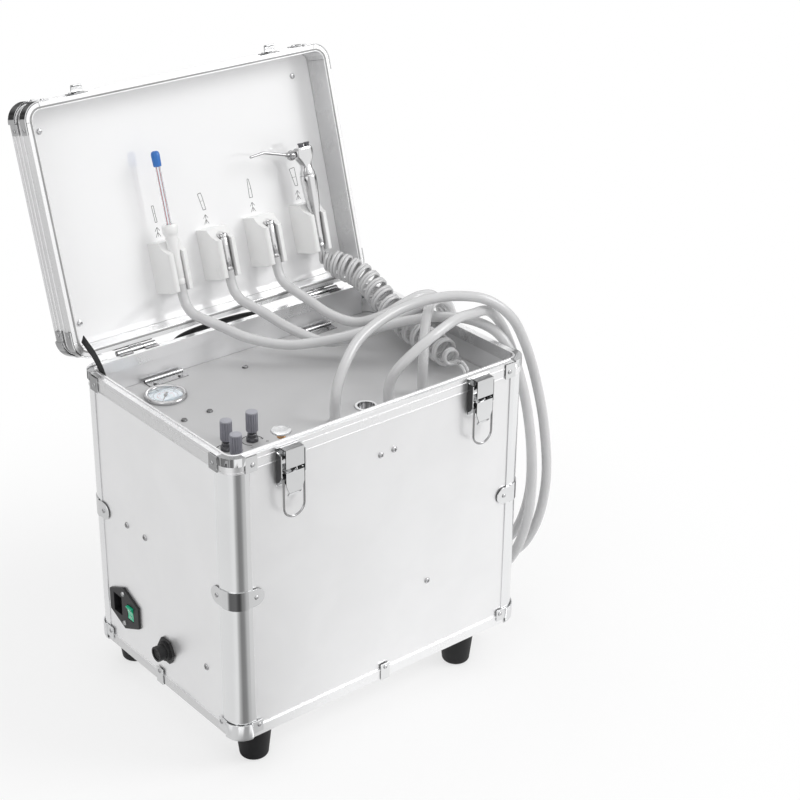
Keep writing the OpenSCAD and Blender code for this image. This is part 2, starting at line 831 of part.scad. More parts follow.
// Needle valves under the knobs: nut, collar and stem, with the body below the deck.
knob_base = 10;
stem_r = 3;
module valve_stems() {
    color("dimgray") placed()
        for (p = [water_left_at, water_right_at, air_at])
            translate([p[0], p[1], deck_z]) {
                cylinder(h = 4, r = 9, $fn = 6);
                cylinder(h = 8.8, r = 6.8, $fn = small_fn);
                cylinder(h = knob_base + 9, r = stem_r, $fn = small_fn);
                translate([0, 0, -deck_t - 0.1]) cylinder(h = deck_t + 0.2, r = 5, $fn = small_fn);
                translate([0, 0, -deck_t - 18]) cylinder(h = 18, r = 9, $fn = 6);
            }
}

// Fluted knob with a chamfered top and a bore for the stem.
module knob(p) {
    ribs = 18;
    r = knob_d / 2;
    placed() translate([p[0], p[1], deck_z + knob_base])
        difference() {
            union() {
                linear_extrude(knob_h - 2)
                    polygon([for (i = [0 : 2 * ribs - 1])
                        (r - (i % 2) * 0.7) * [cos(i * 180 / ribs), sin(i * 180 / ribs)]]);
                translate([0, 0, knob_h - 2.1]) cylinder(h = 2.1, r = r - 0.9, $fn = small_fn);
            }
            translate([0, 0, -1]) cylinder(h = 11, r = stem_r + 0.05, $fn = small_fn);
        }
}

module knob_water_left() { color("slategray") knob(water_left_at); }
module knob_water_right() { color("slategray") knob(water_right_at); }
module knob_air() { color("slategray") knob(air_at); }

// Changeover valve: a threaded bush through the deck with a nut.
module changeover_stem() {
    color("peru") placed()
        translate([changeover_at[0], changeover_at[1], deck_z])
            difference() {
                union() {
                    cylinder(h = 3, r = 8.5, $fn = 6);
                    translate([0, 0, -20]) cylinder(h = 29, r = 5, $fn = small_fn);
                }
                translate([0, 0, -21]) cylinder(h = 40, r = stem_r + 0.05, $fn = small_fn);
            }
}

module changeover_button() {
    r = button_d / 2;
    color("silver") placed()
        translate([changeover_at[0], changeover_at[1], deck_z]) {
            translate([0, 0, -12]) cylinder(h = 31, r = stem_r, $fn = small_fn);
            translate([0, 0, 17]) rotate_extrude($fn = round_fn)
                difference() {
                    union() {
                        square([r, 4.5]);
                        translate([0, 4.4]) scale([r, 2.6]) circle(1, $fn = round_fn);
                    }
                    translate([-2 * r, -4]) square([2 * r, 16]);
                    translate([0, -4]) square([r + 1, 4]);
                }
        }
}

// Finger cup sunk into the deck, for lifting it.
module finger_cup() {
    color("silver") placed()
        translate([cup_at[0], cup_at[1], deck_z])
            rotate_extrude($fn = round_fn)
                polygon([[10, 1.4], [13.2, 1.4], [14, 0.6], [14, 0], [11, 0], [11, -10],
                         [0, -10], [0, -9], [10, -9]]);
}

// Collars that the hoses leave the deck through.
collar_h = 4;
module hose_grommets() {
    color("gray") placed() {
        for (p = hose_exits) translate([p[0], p[1], deck_z]) {
            cylinder(h = 1.6, r = 10, $fn = round_fn);
            cylinder(h = collar_h, r = 8, $fn = round_fn);
            translate([0, 0, -16]) cylinder(h = 16.1, r = 7, $fn = round_fn);
        }
        translate([curl_exit[0], curl_exit[1], deck_z]) {
            cylinder(h = collar_h, r = 6.4, $fn = round_fn);
            translate([0, 0, -14]) cylinder(h = 14.1, r = 4.5, $fn = round_fn);
        }
    }
}

// ---- Lid ----

module lid_panel() {
    color("white") in_lid() translate([0, 0, lid_z + liner_z])
        linear_extrude(liner_t + skin_t - lid_flange_t - 0.1)
            rounded_rect(case_w - 2 * wall_t - seam, case_d - 2 * wall_t - seam,
                         corner_r - wall_t);
}

// Frame of the lid: a bead at the rim, a wall with two ribs, and a skin flange.
module lid_frame() {
    bead_h = 5;
    color("whitesmoke") in_lid() cut_at_corners() translate([0, 0, lid_z]) {
        outline_ring(bead_h, 0, wall_t);
        translate([0, 0, bead_h - 0.1]) outline_ring(lid_t - bead_h + 0.1, edge_t, wall_t);
        for (z = [17, 27, lid_t - 7]) translate([0, 0, z]) outline_ring(3, 0, 2 * edge_t);
        translate([0, 0, lid_t - lid_flange_t]) outline_ring(lid_flange_t, 0, wall_t + 5);
    }
}

// Soft seal along the inner edge of the lid's rim.
module lid_gasket() {
    color("black") in_lid()
        translate([0, 0, lid_z - 0.5]) outline_ring(0.5, wall_t - 3.4, wall_t - 1.4);
}

// Two pieces of sheet at each corner of the lid: one at its rim, one over its skin.
module lid_corner_caps() {
    rim_cap = 13;
    skin_cap = 17;
    color("lightgray") in_lid()
        four_corners() translate([post_x, post_y, lid_z]) {
            corner_band(0.4, rim_cap, corner_r + cap_off, cap_t);
            corner_tabs(0.4, rim_cap, 13);
            translate([0, 0, lid_t]) {
                mirror([0, 0, 1]) ball_band(skin_cap);
                corner_tabs(-skin_cap, skin_cap - 5, 13, 1.5);
            }
        }
}

// Keepers for the latches, screws of the inner panel and rivets of the corner pieces.
keeper_w = 20;
lid_screws = [[-179, 258], [-179, 34], [176, 258], [176, 34]];
module lid_fittings() {
    top = cap_off + cap_t;
    color("silver") in_lid() {
        for (s = [-1, 1]) translate([s * hinge_x, -half_d - 0.02, lid_z]) {
            translate([-keeper_w / 2, -1.2, 4]) cube([keeper_w, 1.2, 22]);
            translate([-keeper_w / 2 + 3, -1.2, 14]) rotate([90, 0, 90])
                linear_extrude(keeper_w - 6)
                    polygon([[0, 0], [-9, -2], [-9, -7], [-7.8, -7], [-7.8, -3], [0, -1.4]]);
            for (e = [-1, 1]) translate([e * 5, -1.2, 20]) face_front() rivet(2.4, 0.9);
        }
        for (p = lid_screws) translate([p[0], half_d - p[1], lid_z + liner_z])
            rotate([180, 0, 0]) pan_head(3.6);
        four_corners()
            for (z = [7, lid_t - 11]) {
                translate([post_x - 8, half_d + top, lid_z + z]) face_back() rivet(2.4);
                translate([half_w + top, post_y - 8, lid_z + z]) face_right() rivet(2.4);
            }
    }
}

// Children in a holder's frame on the lid's inner panel: X across the lid, Y away
// from the hinge, from the holder's foot, and Z out of the panel.
holder_x = [for (i = [0 : 3]) -53 + i * holder_step];
holder_u = 42;
module on_holder(i) {
    in_lid() translate([holder_x[i], half_d - holder_u, lid_z + liner_z])
        rotate([180, 0, 0]) children();
}

slot_r = 6.6;
module instrument_holder() {
    back_w = 32;
    front_w = 23;
    difference() {
        rotate([-90, 0, 0]) mirror([0, 1, 0]) linear_extrude(holder_h)
            difference() {
                union() {
                    polygon([[-back_w / 2, 0], [back_w / 2, 0],
                             [front_w / 2, holder_out - 3], [front_w / 2 - 3, holder_out],
                             [-front_w / 2 + 3, holder_out], [-front_w / 2, holder_out - 3]]);
                    for (s = [-1, 1]) translate([s * (front_w / 2 - 3), holder_out - 3])
                        circle(3, $fn = small_fn);
                }
                translate([0, tool_out]) circle(slot_r, $fn = round_fn);
                translate([-slot_r, tool_out]) square([2 * slot_r, holder_out]);
            }
        translate([-back_w, holder_h + 12, holder_out + 6]) rotate([0, 90, 0])
            cylinder(h = 2 * back_w, r = 26, $fn = 2 * round_fn);
        translate([0, holder_h - 16, tool_out]) rotate([-90, 0, 0])
            cylinder(h = 30, r = 9, $fn = round_fn);
        translate([-back_w, holder_h, -8.2]) rotate([0, 90, 0])
            difference() {
                translate([-20, -10, 0]) cube([12, 20, 2 * back_w]);
                cylinder(h = 2 * back_w, r = 1, $fn = small_fn);
            }
    }
}

module instrument_holders() {
    color("white") for (i = [0 : 3]) on_holder(i) instrument_holder();
}

// Sleeves that the handpieces push into, on the two middle hoses.
connector_foot = 9;
connector_len = 45;
connector_r = 5.6;
socket_bore_r = 4;
socket_depth = 20;
module hose_connectors() {
    color("silver")
        for (i = [1, 2]) on_holder(i)
            translate([0, connector_foot, tool_out]) rotate([-90, 0, 0])
                difference() {
                    union() {
                        cylinder(h = connector_len, r = connector_r, $fn = round_fn);
                        translate([0, 0, connector_len - 4])
                            cylinder(h = 4, r = connector_r + 0.8, $fn = round_fn);
                    }
                    translate([0, 0, connector_len - socket_depth])
                        cylinder(h = socket_depth + 1, r = socket_bore_r, $fn = round_fn);
                }
}

// Suction handle: a tapered body with a collar that grips the ejector tube.
module suction_handle() {
    color("white") on_holder(0)
        translate([0, connector_foot, tool_out]) rotate([-90, 0, 0])
            difference() {
                rotate_extrude($fn = round_fn)
                    polygon([[0, 0], [6, 0], [6, 36], [7.4, 46], [7.4, 60], [9.2, 62],
                             [9.2, 70], [8, 72], [0, 72]]);
                translate([0, 0, 60]) cylinder(h = 13, r = 3.55, $fn = small_fn);
            }
}

// Disposable ejector tube with a soft tip.
ejector_len = 96;
module saliva_ejector() {
    color("skyblue") on_holder(0)
        translate([0, connector_foot, tool_out]) rotate([-90, 0, 0]) translate([0, 0, 60])
            rotate_extrude($fn = small_fn)
                polygon([[0, 0], [3.5, 0], [3.5, ejector_len - 14], [5.2, ejector_len - 14],
                         [5.4, ejector_len - 5], [4.6, ejector_len - 1], [3, ejector_len + 3],
                         [0, ejector_len + 3]]);
}

// Three-way syringe: the body stands in the last holder and its head leans left.
head_at = 96;
module syringe_body() {
    color("silver") on_holder(3)
        translate([0, connector_foot - 2, tool_out]) {
            rotate([-90, 0, 0]) rotate_extrude($fn = round_fn)
                polygon([[0, 0], [5.6, 0], [6, 3], [6, 52], [8, 56], [8.2, 86], [7.6, head_at - 6],
                         [0, head_at - 6]]);
            difference() {
                translate([0, head_at - 7, -6.5]) linear_extrude(13)
                    polygon([[-7, 0], [7, 0], [9, 14], [11.5, 22], [11.5, 34], [8, 36],
                             [-8, 36], [-13, 33], [-15, 22], [-10, 16]]);
                for (x = button_x)
                    translate([x, head_at + 22, 0]) rotate([-90, 0, 0])
                        cylinder(h = 10, r = button_r + pin_gap, $fn = small_fn);
                translate([-14, head_at + 20, 0]) rotate([-90, 0, nozzle_tilt])
                    translate([0, 0, -6]) cylinder(h = 14, r = shank_r + pin_gap, $fn = small_fn);
            }
        }
}

// Nozzle with its fluted nut: it turns about its own straight length.
button_x = [-3, 6];
button_r = 3;
shank_r = 2.5;
nozzle_tilt = 74;
nozzle_r = 1.8;
nozzle_bend = 20;
module syringe_nozzle() {
    straight = 46;
    tip = 24;
    flutes = 8;
    color("silver") on_holder(3)
        translate([-14, connector_foot - 2 + head_at + 20, tool_out])
            rotate([-90, 0, nozzle_tilt]) {
                difference() {
                    rotate_extrude($fn = small_fn)
                        polygon([[0, -3], [shank_r, -3], [shank_r, 2.2], [5.8, 2.2], [6.2, 3],
                                 [6.2, 8], [4.4, 9.4], [2.6, 9.4], [2.4, 14],
                                 [nozzle_r, 15], [nozzle_r, straight], [0, straight]]);
                    for (i = [0 : flutes - 1]) rotate([0, 0, i * 360 / flutes])
                        translate([7, 0, 1]) cylinder(h = 10, r = 1.3, $fn = small_fn);
                }
                translate([0, 0, straight]) {
                    sphere(nozzle_r + 0.08, $fn = small_fn);
                    rotate([0, -nozzle_bend, 0]) cylinder(h = tip, r = nozzle_r - 0.08, $fn = small_fn);
                }
            }
}

module syringe_button(i) {
    on_holder(3)
        translate([button_x[i], connector_foot - 2 + head_at + 24.5, tool_out])
            rotate([-90, 0, 0]) {
                cylinder(h = 7.5, r = button_r, $fn = small_fn);
                translate([0, 0, 7.4]) cylinder(h = 1.6, r = 3.9, $fn = small_fn);
            }
}

module syringe_button_water() { color("dimgray") syringe_button(0); }
module syringe_button_air() { color("dimgray") syringe_button(1); }

// ---- Hoses ----

// A point of the lid in its holder frame, as a point of the case's frame.
function lid_point(x, u, out) =
    let (y = -pin_out - u, z = rim_gap + liner_z - out)
    [x, pin_y + y * cos(lid_open) + z * sin(lid_open),
     pin_z - y * sin(lid_open) + z * cos(lid_open)];
lid_up = [0, -cos(lid_open), sin(lid_open)];

// Catmull-Rom curve through a list of points, with the given number of steps a span.
function curve_point(a, b, c, d, t) =
    0.5 * (2 * b + (c - a) * t + (2 * a - 5 * b + 4 * c - d) * t * t
           + (3 * b - a - 3 * c + d) * t * t * t);
function smooth_path(p, steps) =
    let (n = len(p))
    [for (i = [0 : n - 2], j = [0 : steps - 1])
        curve_point(p[max(i - 1, 0)], p[i], p[i + 1], p[min(i + 2, n - 1)], j / steps),
     p[n - 1]];

function unit(v) = v / norm(v);
function across(v, t) = unit(v - (v * t) * t);
function tangent(p, i) = unit(p[min(i + 1, len(p) - 1)] - p[max(i - 1, 0)]);

// A frame carried along the path with no twist: its first side vector at each ring.
function carried(p) =
    let (start = across(abs(tangent(p, 0)[2]) < 0.8 ? [0, 0, 1] : [1, 0, 0], tangent(p, 0)))
    [for (i = 0, v = start; i < len(p);
          i = i + 1, v = i < len(p) ? across(v, tangent(p, i)) : v) v];

module tube(p, r, sides) {
    side = carried(p);
    rings = len(p);
    points = [for (i = [0 : rings - 1])
        let (t = tangent(p, i), a = side[i], b = cross(t, a))
        for (k = [0 : sides - 1])
            p[i] + r * (cos(k * 360 / sides) * a + sin(k * 360 / sides) * b)];
    walls = [for (i = [0 : rings - 2], k = [0 : sides - 1])
        let (m = (k + 1) % sides)
        [i * sides + k, (i + 1) * sides + k, (i + 1) * sides + m, i * sides + m]];
    first = [for (k = [0 : sides - 1]) k];
    last = [for (k = [sides - 1 : -1 : 0]) (rings - 1) * sides + k];
    polyhedron(points, concat([first], walls, [last]), convexity = 8);
}

// Routes of the hoses, from the holder, over the right rim, round a loop outside,
// and back over the rim to the deck. Each starts and ends with a straight diameter.
function from_holder(i) =
    [lid_point(holder_x[i], holder_u + connector_foot, tool_out),
     lid_point(holder_x[i], holder_u + connector_foot - hose_d - 0.5, tool_out)];
function to_deck(p) =
    [[p[0], p[1], deck_z + collar_h + hose_d + 2], [p[0], p[1], deck_z + collar_h]];

hose_suction_route = concat(from_holder(0),
    [[-53, 166, 384], [-51, 155, 376], [-45, 140, 372], [-33, 122, 366],
     [-12, 98, 354], [24, 68, 346], [66, 42, 350], [106, 16, 361], [142, -8, 371],
     [172, -36, 378], [198, -66, 376], [218, -93, 358], [228, -116, 312],
     [232, -132, 250], [232, -140, 185], [232, -134, 120], [232, -110, 60],
     [232, -66, 12], [232, -10, -6], [232, 46, 12], [232, 84, 56], [232, 98, 120],
     [232, 90, 190], [232, 66, 250], [231, 34, 300], [224, 6, 346], [207, -8, 374],
     [184, -18, 391], [160, -31, 396], [137, -50, 392], [118, -69, 381],
     [106, -82, 366], [101, -87, 350]],
    to_deck(hose_exits[2]));

hose_left_route = concat(from_holder(1),
    [[16, 166, 384], [18, 155, 376], [22, 140, 372], [31, 120, 365], [46, 93, 352],
     [72, 58, 340], [104, 31, 349], [138, 14, 364], [170, 10, 373], [200, 14, 373],
     [225, 20, 358], [243, 30, 324], [248, 38, 276], [248, 58, 220], [248, 72, 160],
     [248, 66, 100], [248, 40, 52], [248, -10, 30], [248, -60, 46], [248, -100, 90],
     [248, -120, 150], [248, -120, 210], [247, -108, 270], [240, -92, 326],
     [231, -78, 365], [210, -76, 389], [178, -84, 397], [148, -92, 402],
     [118, -100, 400], [90, -103, 392], [68, -100, 378], [54, -94, 362], [49, -91, 348]],
    to_deck(hose_exits[1]));

hose_right_route = concat(from_holder(2),
    [[85, 166, 384], [87, 155, 376], [90, 140, 372], [96, 120, 365], [106, 94, 354],
     [121, 64, 350], [142, 41, 360], [168, 29, 374], [194, 28, 378], [220, 32, 368],
     [240, 42, 336], [252, 56, 286], [258, 76, 226], [262, 90, 160], [264, 80, 94],
     [264, 40, 40], [264, -24, 20], [264, -82, 44], [264, -118, 100], [264, -132, 170],
     [262, -126, 240], [256, -114, 300], [244, -104, 350], [227, -96, 385],
     [201, -82, 408], [168, -66, 416], [134, -54, 416], [98, -50, 413], [62, -53, 407],
     [28, -60, 397], [2, -71, 382], [-16, -80, 364], [-23, -84, 348]],
    to_deck(hose_exits[0]));

hose_steps = 2;
module hose(route) {
    n = len(route);
    middle = [for (i = [1 : n - 2]) route[i]];
    color("lightsteelblue") placed()
        tube(concat([route[0]], smooth_path(middle, hose_steps), [route[n - 1]]),
             hose_d / 2, 8);
}

module hose_suction() { hose(hose_suction_route); }
module hose_left() { hose(hose_left_route); }
module hose_right() { hose(hose_right_route); }

// Curly hose: the axis of its coil, from the syringe down to the deck.
curl_axis = [[157, 170, 388], [164, 156, 385], [170, 140, 382], [175, 122, 378],
             [176, 103, 372], [175, 84, 365], [174, 64, 356], [173, 42, 348],
             [172, 20, 343], [171, -4, 340], [169, -28, 340], [164, -52, 340],
             [156, -74, 341]];
curl_r = 15;
curl_turns = 17;
curl_rings = 8;

function along(p, s) =
    let (x = s * (len(p) - 1), i = min(floor(x), len(p) - 2), t = x - i)
    curve_point(p[max(i - 1, 0)], p[i], p[i + 1], p[min(i + 2, len(p) - 1)], t);
function axis_tangent(p, s) = unit(along(p, min(s + 0.01, 1)) - along(p, max(s - 0.01, 0)));

// One point of the helix. The coil opens at its start and closes at its end.
function helix_point(s) =
    let (t = axis_tangent(curl_axis, s), a = across([0, 0, 1], t), b = cross(t, a),
         turn = 360 * curl_turns * s + 200, grow = min(1, 12 * s, 12 * (1 - s)))
    along(curl_axis, s) + curl_r * (0.35 + 0.65 * grow) * (cos(turn) * a + sin(turn) * b);

function curl_path() =
    let (start = lid_point(holder_x[3], holder_u + connector_foot - 2, tool_out),
         n = curl_turns * curl_rings, top = [curl_exit[0], curl_exit[1], deck_z + collar_h])
    concat([start, start - 2 * curl_tube_d * lid_up],
           [for (i = [0 : n]) helix_point(i / n)],
           [top + [0, 0, 2 * curl_tube_d], top]);

// Side vector of the twin tube: it lies along the coil, so the two tubes are
// side by side on it.
function curl_side(p) =
    let (n = len(p), lead = 2)
    [for (i = [0 : n - 1])
        let (s = min(max((i - lead) / (n - 2 * lead), 0), 1))
        across(i < lead || i > n - 1 - lead ? [1, 0, 0] : axis_tangent(curl_axis, s),
               tangent(p, i))];

// Least distance between two turns, less the width of the twin tube.
function curl_gap(p) =
    min([for (i = [2 : len(p) - 7], j = [i + 5 : len(p) - 3]) norm(p[i] - p[j])])
    - 2 * curl_tube_d;

module curly_hose() {
    p = curl_path();
    side = curl_side(p);
    n = len(p);
    h = curl_tube_d / 2;
    outline = [[-2 * h, 0], [-h, -h], [h, -h], [2 * h, 0], [h, h], [-h, h]];
    points = [for (i = [0 : n - 1])
        let (a = side[i], b = cross(tangent(p, i), a))
        for (c = outline) p[i] + c[0] * a + c[1] * b];
    walls = [for (i = [0 : n - 2], k = [0 : 5])
        let (m = (k + 1) % 6, q = [i * 6 + k, (i + 1) * 6 + k, (i + 1) * 6 + m, i * 6 + m])
        for (f = [[q[0], q[1], q[2]], [q[0], q[2], q[3]]]) f];
    first = [for (k = [0 : 5]) k];
    last = [for (k = [5 : -1 : 0]) (n - 1) * 6 + k];
    echo(str("Curly hose: least gap to itself ", curl_gap(p), " mm"));
    color("lightsteelblue") placed() polyhedron(points, concat([first], walls, [last]));
}

// Webbing stay between the lid's left wall and the case's left wall.
stay_route = [[-199, 108, 334], [-199, 114, 348], [-198, 124, 360], [-197, 138, 370],
              [-197, 150, 376], [-197, 162, 382]];
module lid_stay() {
    p = smooth_path(stay_route, 3);
    n = len(p);
    half = 4.5;
    thick = 1.4;
    points = [for (i = [0 : n - 1])
        let (t = tangent(p, i), a = unit(cross([1, 0, 0], t)), b = [1, 0, 0])
        for (c = [[-1, -1], [1, -1], [1, 1], [-1, 1]])
            p[i] + c[0] * half * a + c[1] * thick / 2 * b];
    walls = [for (i = [0 : n - 2], k = [0 : 3])
        let (m = (k + 1) % 4) [i * 4 + k, i * 4 + m, (i + 1) * 4 + m, (i + 1) * 4 + k]];
    color("black") placed()
        polyhedron(points, concat([[3, 2, 1, 0]], walls,
                   [[for (k = [0 : 3]) (n - 1) * 4 + k]]), convexity = 4);
}

front_panel();
rear_panel();
left_panel();
right_panel();
floor_panel();
corner_posts();
rim_frame();
base_frame();
corner_caps();
straps_and_clips();
case_fasteners();
feet();
compressor();
air_tank();
fluid_bottles();
power_inlet();
inlet_pins();
rocker_switch();
footswitch_socket();
latch_bases();
latch_lever_left();
latch_lever_right();
latch_bail_left();
latch_bail_right();
hinge_leaves_case();
hinge_leaves_lid();
hinge_pins();
carry_handle();
deck_panel();
deck_hinges();
gauge_bezel();
gauge_dial();
gauge_needle();
gauge_glass();
valve_stems();
knob_water_left();
knob_water_right();
knob_air();
changeover_stem();
changeover_button();
finger_cup();
hose_grommets();
lid_panel();
lid_frame();
lid_gasket();
lid_corner_caps();
lid_fittings();
instrument_holders();
hose_connectors();
suction_handle();
saliva_ejector();
syringe_body();
syringe_nozzle();
syringe_button_water();
syringe_button_air();
hose_suction();
hose_left();
hose_right();
curly_hose();
lid_stay();
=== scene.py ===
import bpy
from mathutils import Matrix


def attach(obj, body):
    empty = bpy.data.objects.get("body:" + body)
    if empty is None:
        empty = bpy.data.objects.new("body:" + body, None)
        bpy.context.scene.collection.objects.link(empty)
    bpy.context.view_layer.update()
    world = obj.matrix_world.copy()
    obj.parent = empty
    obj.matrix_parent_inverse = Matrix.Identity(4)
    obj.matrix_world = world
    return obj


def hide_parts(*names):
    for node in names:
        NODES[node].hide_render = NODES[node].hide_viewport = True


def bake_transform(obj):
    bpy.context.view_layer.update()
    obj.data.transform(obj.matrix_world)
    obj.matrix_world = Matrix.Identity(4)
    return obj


bl_info = {
    "name": "Portable dental unit",
    "version": (1, 0, 0),
    "blender": (4, 5, 0),
    "location": "3D View > Sidebar > Dental Unit",
    "description": "Dresses the packed case, deck, lid, instruments and hoses",
    "category": "Object",
}

import math

import bmesh
import bpy
from bpy.props import FloatProperty, FloatVectorProperty, IntProperty, PointerProperty
from bpy.types import Operator, Panel, PropertyGroup
from mathutils import Matrix, Vector

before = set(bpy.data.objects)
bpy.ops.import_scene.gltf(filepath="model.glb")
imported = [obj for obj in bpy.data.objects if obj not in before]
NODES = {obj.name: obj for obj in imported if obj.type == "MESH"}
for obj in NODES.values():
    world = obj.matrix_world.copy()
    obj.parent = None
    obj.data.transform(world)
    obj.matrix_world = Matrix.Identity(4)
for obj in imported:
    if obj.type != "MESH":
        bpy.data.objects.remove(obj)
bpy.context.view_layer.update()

# ---- Places: millimetres in the case's own frame, as in part.scad ----

MM = 0.001
CASE_AT = Vector((5, -58, 40))
HALF_W, HALF_D, CASE_H = 210, 146, 356
POST_X, POST_Y = 190, 126
DECK_Z = 318
LID_OPEN = math.radians(106)
PIN_Y, PIN_Z, PIN_OUT = 151.5, 356, 5.5
RIM_GAP, LINER_Z, LID_T = 1.5, 36, 42
LID_UP = Vector((0, -math.cos(LID_OPEN), math.sin(LID_OPEN)))
HOLDER_X = [-53, 16, 85, 154]
HOLDER_U, HOLDER_H, HOLDER_OUT = 42, 61, 36
CONNECTOR_FOOT, TOOL_OUT = 9, 28
HINGE_X, LID_Z = 134, 357.5
PANEL_IN, STRAP_Z = 1.2, 182
HOSE_EXITS = [(-24, -84), (48, -90), (100, -88)]
CURL_EXIT = (158, -98)
COLLAR_H = 4
HOSE_D, CURL_TUBE_D = 12.0, 4.2
BOTH = (-1, 1)
CORNERS = [(sx, sy) for sx in BOTH for sy in BOTH]


def row(p):
    """A point of the case's frame in millimetres, as a point of the row frame in metres."""
    return (Vector(p) + CASE_AT) * MM


def lid_point(x, u, out):
    """A point of the open lid: across, up from its hinge edge, and out of its inner panel."""
    y = -PIN_OUT - u
    z = RIM_GAP + LINER_Z - out
    return Vector((
        x,
        PIN_Y + y * math.cos(LID_OPEN) + z * math.sin(LID_OPEN),
        PIN_Z - y * math.sin(LID_OPEN) + z * math.cos(LID_OPEN),
    ))


def lid_frame():
    """Matrix from the lid's frame (across, up, out) to the case's frame."""
    out = lid_point(0, 0, 1) - lid_point(0, 0, 0)
    m = Matrix((Vector((1, 0, 0)), LID_UP, out)).transposed().to_4x4()
    m.translation = lid_point(0, 0, 0)
    return m


def lid_swing():
    """Matrix that takes a point of the shut lid to where it is on the open one."""
    pin = Matrix.Translation((0, PIN_Y, PIN_Z))
    return pin @ Matrix.Rotation(-LID_OPEN, 4, "X") @ pin.inverted()


def tool_axis(holder, up, turn=0, shift=0):
    """Matrix whose local Z runs up a holder's axis, tilted left by an angle in degrees."""
    place = Matrix.Translation((HOLDER_X[holder] + shift, HOLDER_U + up, TOOL_OUT))
    return (lid_frame() @ place @ Matrix.Rotation(math.radians(turn), 4, "Z")
            @ Matrix.Rotation(math.radians(-90), 4, "X"))


def facing(at, direction):
    """Matrix that stands a piece's local Z on an upright face at a point."""
    z = Vector(direction).normalized()
    x = Vector((0, 0, 1)).cross(z).normalized()
    m = Matrix((x, z.cross(x), z)).transposed().to_4x4()
    m.translation = Vector(at)
    return m


def side_on(at=(0, 0, 0)):
    """Matrix that lays an outline in the upright plane across X, raised along X."""
    m = Matrix(((0, 0, 1), (1, 0, 0), (0, 1, 0))).to_4x4()
    m.translation = at
    return m


# ---- Mesh building ----


class Shell:
    """Collects the faces of a piece in millimetres of the case's frame."""

    def __init__(self):
        self.points, self.faces, self.sharp = [], [], []

    def add(self, points, faces, matrix=None):
        """Adds points and the faces between them, placed by a matrix."""
        base = len(self.points)
        matrix = matrix or Matrix.Identity(4)
        self.points += [matrix @ Vector(p) for p in points]
        self.faces += [[base + i for i in f] for f in faces]
        return self

    def lathe(self, profile, sides, matrix=None, closed=False):
        """Turns (radius, height) pairs about the local Z; a radius of 0 makes a pole."""
        points, rings = [], []
        for r, h in profile:
            if r < 1e-6:
                rings.append([len(points)] * sides)
                points.append((0, 0, h))
            else:
                rings.append(list(range(len(points), len(points) + sides)))
                points += [(x, y, h) for x, y in circle(r, sides)]
        faces = []
        pairs = list(zip(rings, rings[1:])) + ([(rings[-1], rings[0])] if closed else [])
        for a, b in pairs:
            for k in range(sides):
                m = (k + 1) % sides
                f = [a[k], a[m], b[m], b[k]]
                f = [i for n, i in enumerate(f) if i != f[n - 1]]
                if len(f) > 2:
                    faces.append(f)
        return self.add(points, faces, matrix)

    def prism(self, outline, z0, z1, matrix=None):
        """Raises a closed outline from z0 to z1, counter-clockwise seen from above."""
        n = len(outline)
        points = [(x, y, z0) for x, y in outline] + [(x, y, z1) for x, y in outline]
        faces = [[k, (k + 1) % n, n + (k + 1) % n, n + k] for k in range(n)]
        faces += [list(range(n - 1, -1, -1)), list(range(n, 2 * n))]
        return self.add(points, faces, matrix)

    def loft(self, rings, matrix=None):
        """Joins rings of as many points each, and closes the first and the last."""
        n = len(rings[0])
        faces = [[i * n + k, i * n + (k + 1) % n, (i + 1) * n + (k + 1) % n, (i + 1) * n + k]
                 for i in range(len(rings) - 1) for k in range(n)]
        last = (len(rings) - 1) * n
        faces += [list(range(n - 1, -1, -1)), list(range(last, last + n))]
        return self.add([p for ring in rings for p in ring], faces, matrix)

    def block(self, low, high, matrix=None):
        """A box between two opposite corners."""
        outline = [(low[0], low[1]), (high[0], low[1]), (high[0], high[1]), (low[0], high[1])]
        return self.prism(outline, low[2], high[2], matrix)

    def sweep(self, path, section, frames=None):
        """Runs a closed section of (a, b) pairs, or one such section a point, along a path."""
        frames = frames or carried(path)
        count, points = len(path), []
        per_point = isinstance(section[0][0], (tuple, list))
        for i, (p, (a, b)) in enumerate(zip(path, frames)):
            points += [Vector(p) + u * a + v * b for u, v in (section[i] if per_point else section)]
        sides = len(points) // count
        faces = [[i * sides + k, i * sides + (k + 1) % sides,
                  (i + 1) * sides + (k + 1) % sides, (i + 1) * sides + k]
                 for i in range(count - 1) for k in range(sides)]
        faces += [list(range(sides - 1, -1, -1)),
                  list(range((count - 1) * sides, count * sides))]
        return self.add(points, faces)

    def stand_in(self, name, slot, body, node, crease=34, look=None, **rounding):
        """Makes the piece that stands for a CAD node, in its slot's finish or its own."""
        obj = self.make(name, look or slot_finish(slot), body, crease, **rounding)
        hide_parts(node)
        return obj

    def make(self, name, material, body=None, crease=30, round_mm=0, segments=2):
        """Makes the object, in metres of the row frame, and rides it on its body."""
        mesh = bpy.data.meshes.new(name)
        mesh.from_pydata([row(p) for p in self.points], [], self.faces)
        mesh.validate()
        bm = bmesh.new()
        bm.from_mesh(mesh)
        bmesh.ops.remove_doubles(bm, verts=bm.verts, dist=1e-6)
        bmesh.ops.recalc_face_normals(bm, faces=bm.faces)
        for f in bm.faces:
            f.smooth = True
        for e in bm.edges:
            e.smooth = not (len(e.link_faces) == 2
                            and e.calc_face_angle(0) > math.radians(crease))
        bm.to_mesh(mesh)
        bm.free()
        obj = add_object(name, mesh)
        mesh.materials.append(material)
        if round_mm:
            soften(obj, round_mm, segments)
        if body:
            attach(obj, body)
        return obj


def add_object(name, data):
    """Links a new object to the scene."""
    obj = bpy.data.objects.new(name, data)
    bpy.context.scene.collection.objects.link(obj)
    return obj


def circle(radius, sides):
    """Points of a circle about the origin."""
    return [(radius * math.cos(2 * math.pi * k / sides),
             radius * math.sin(2 * math.pi * k / sides)) for k in range(sides)]


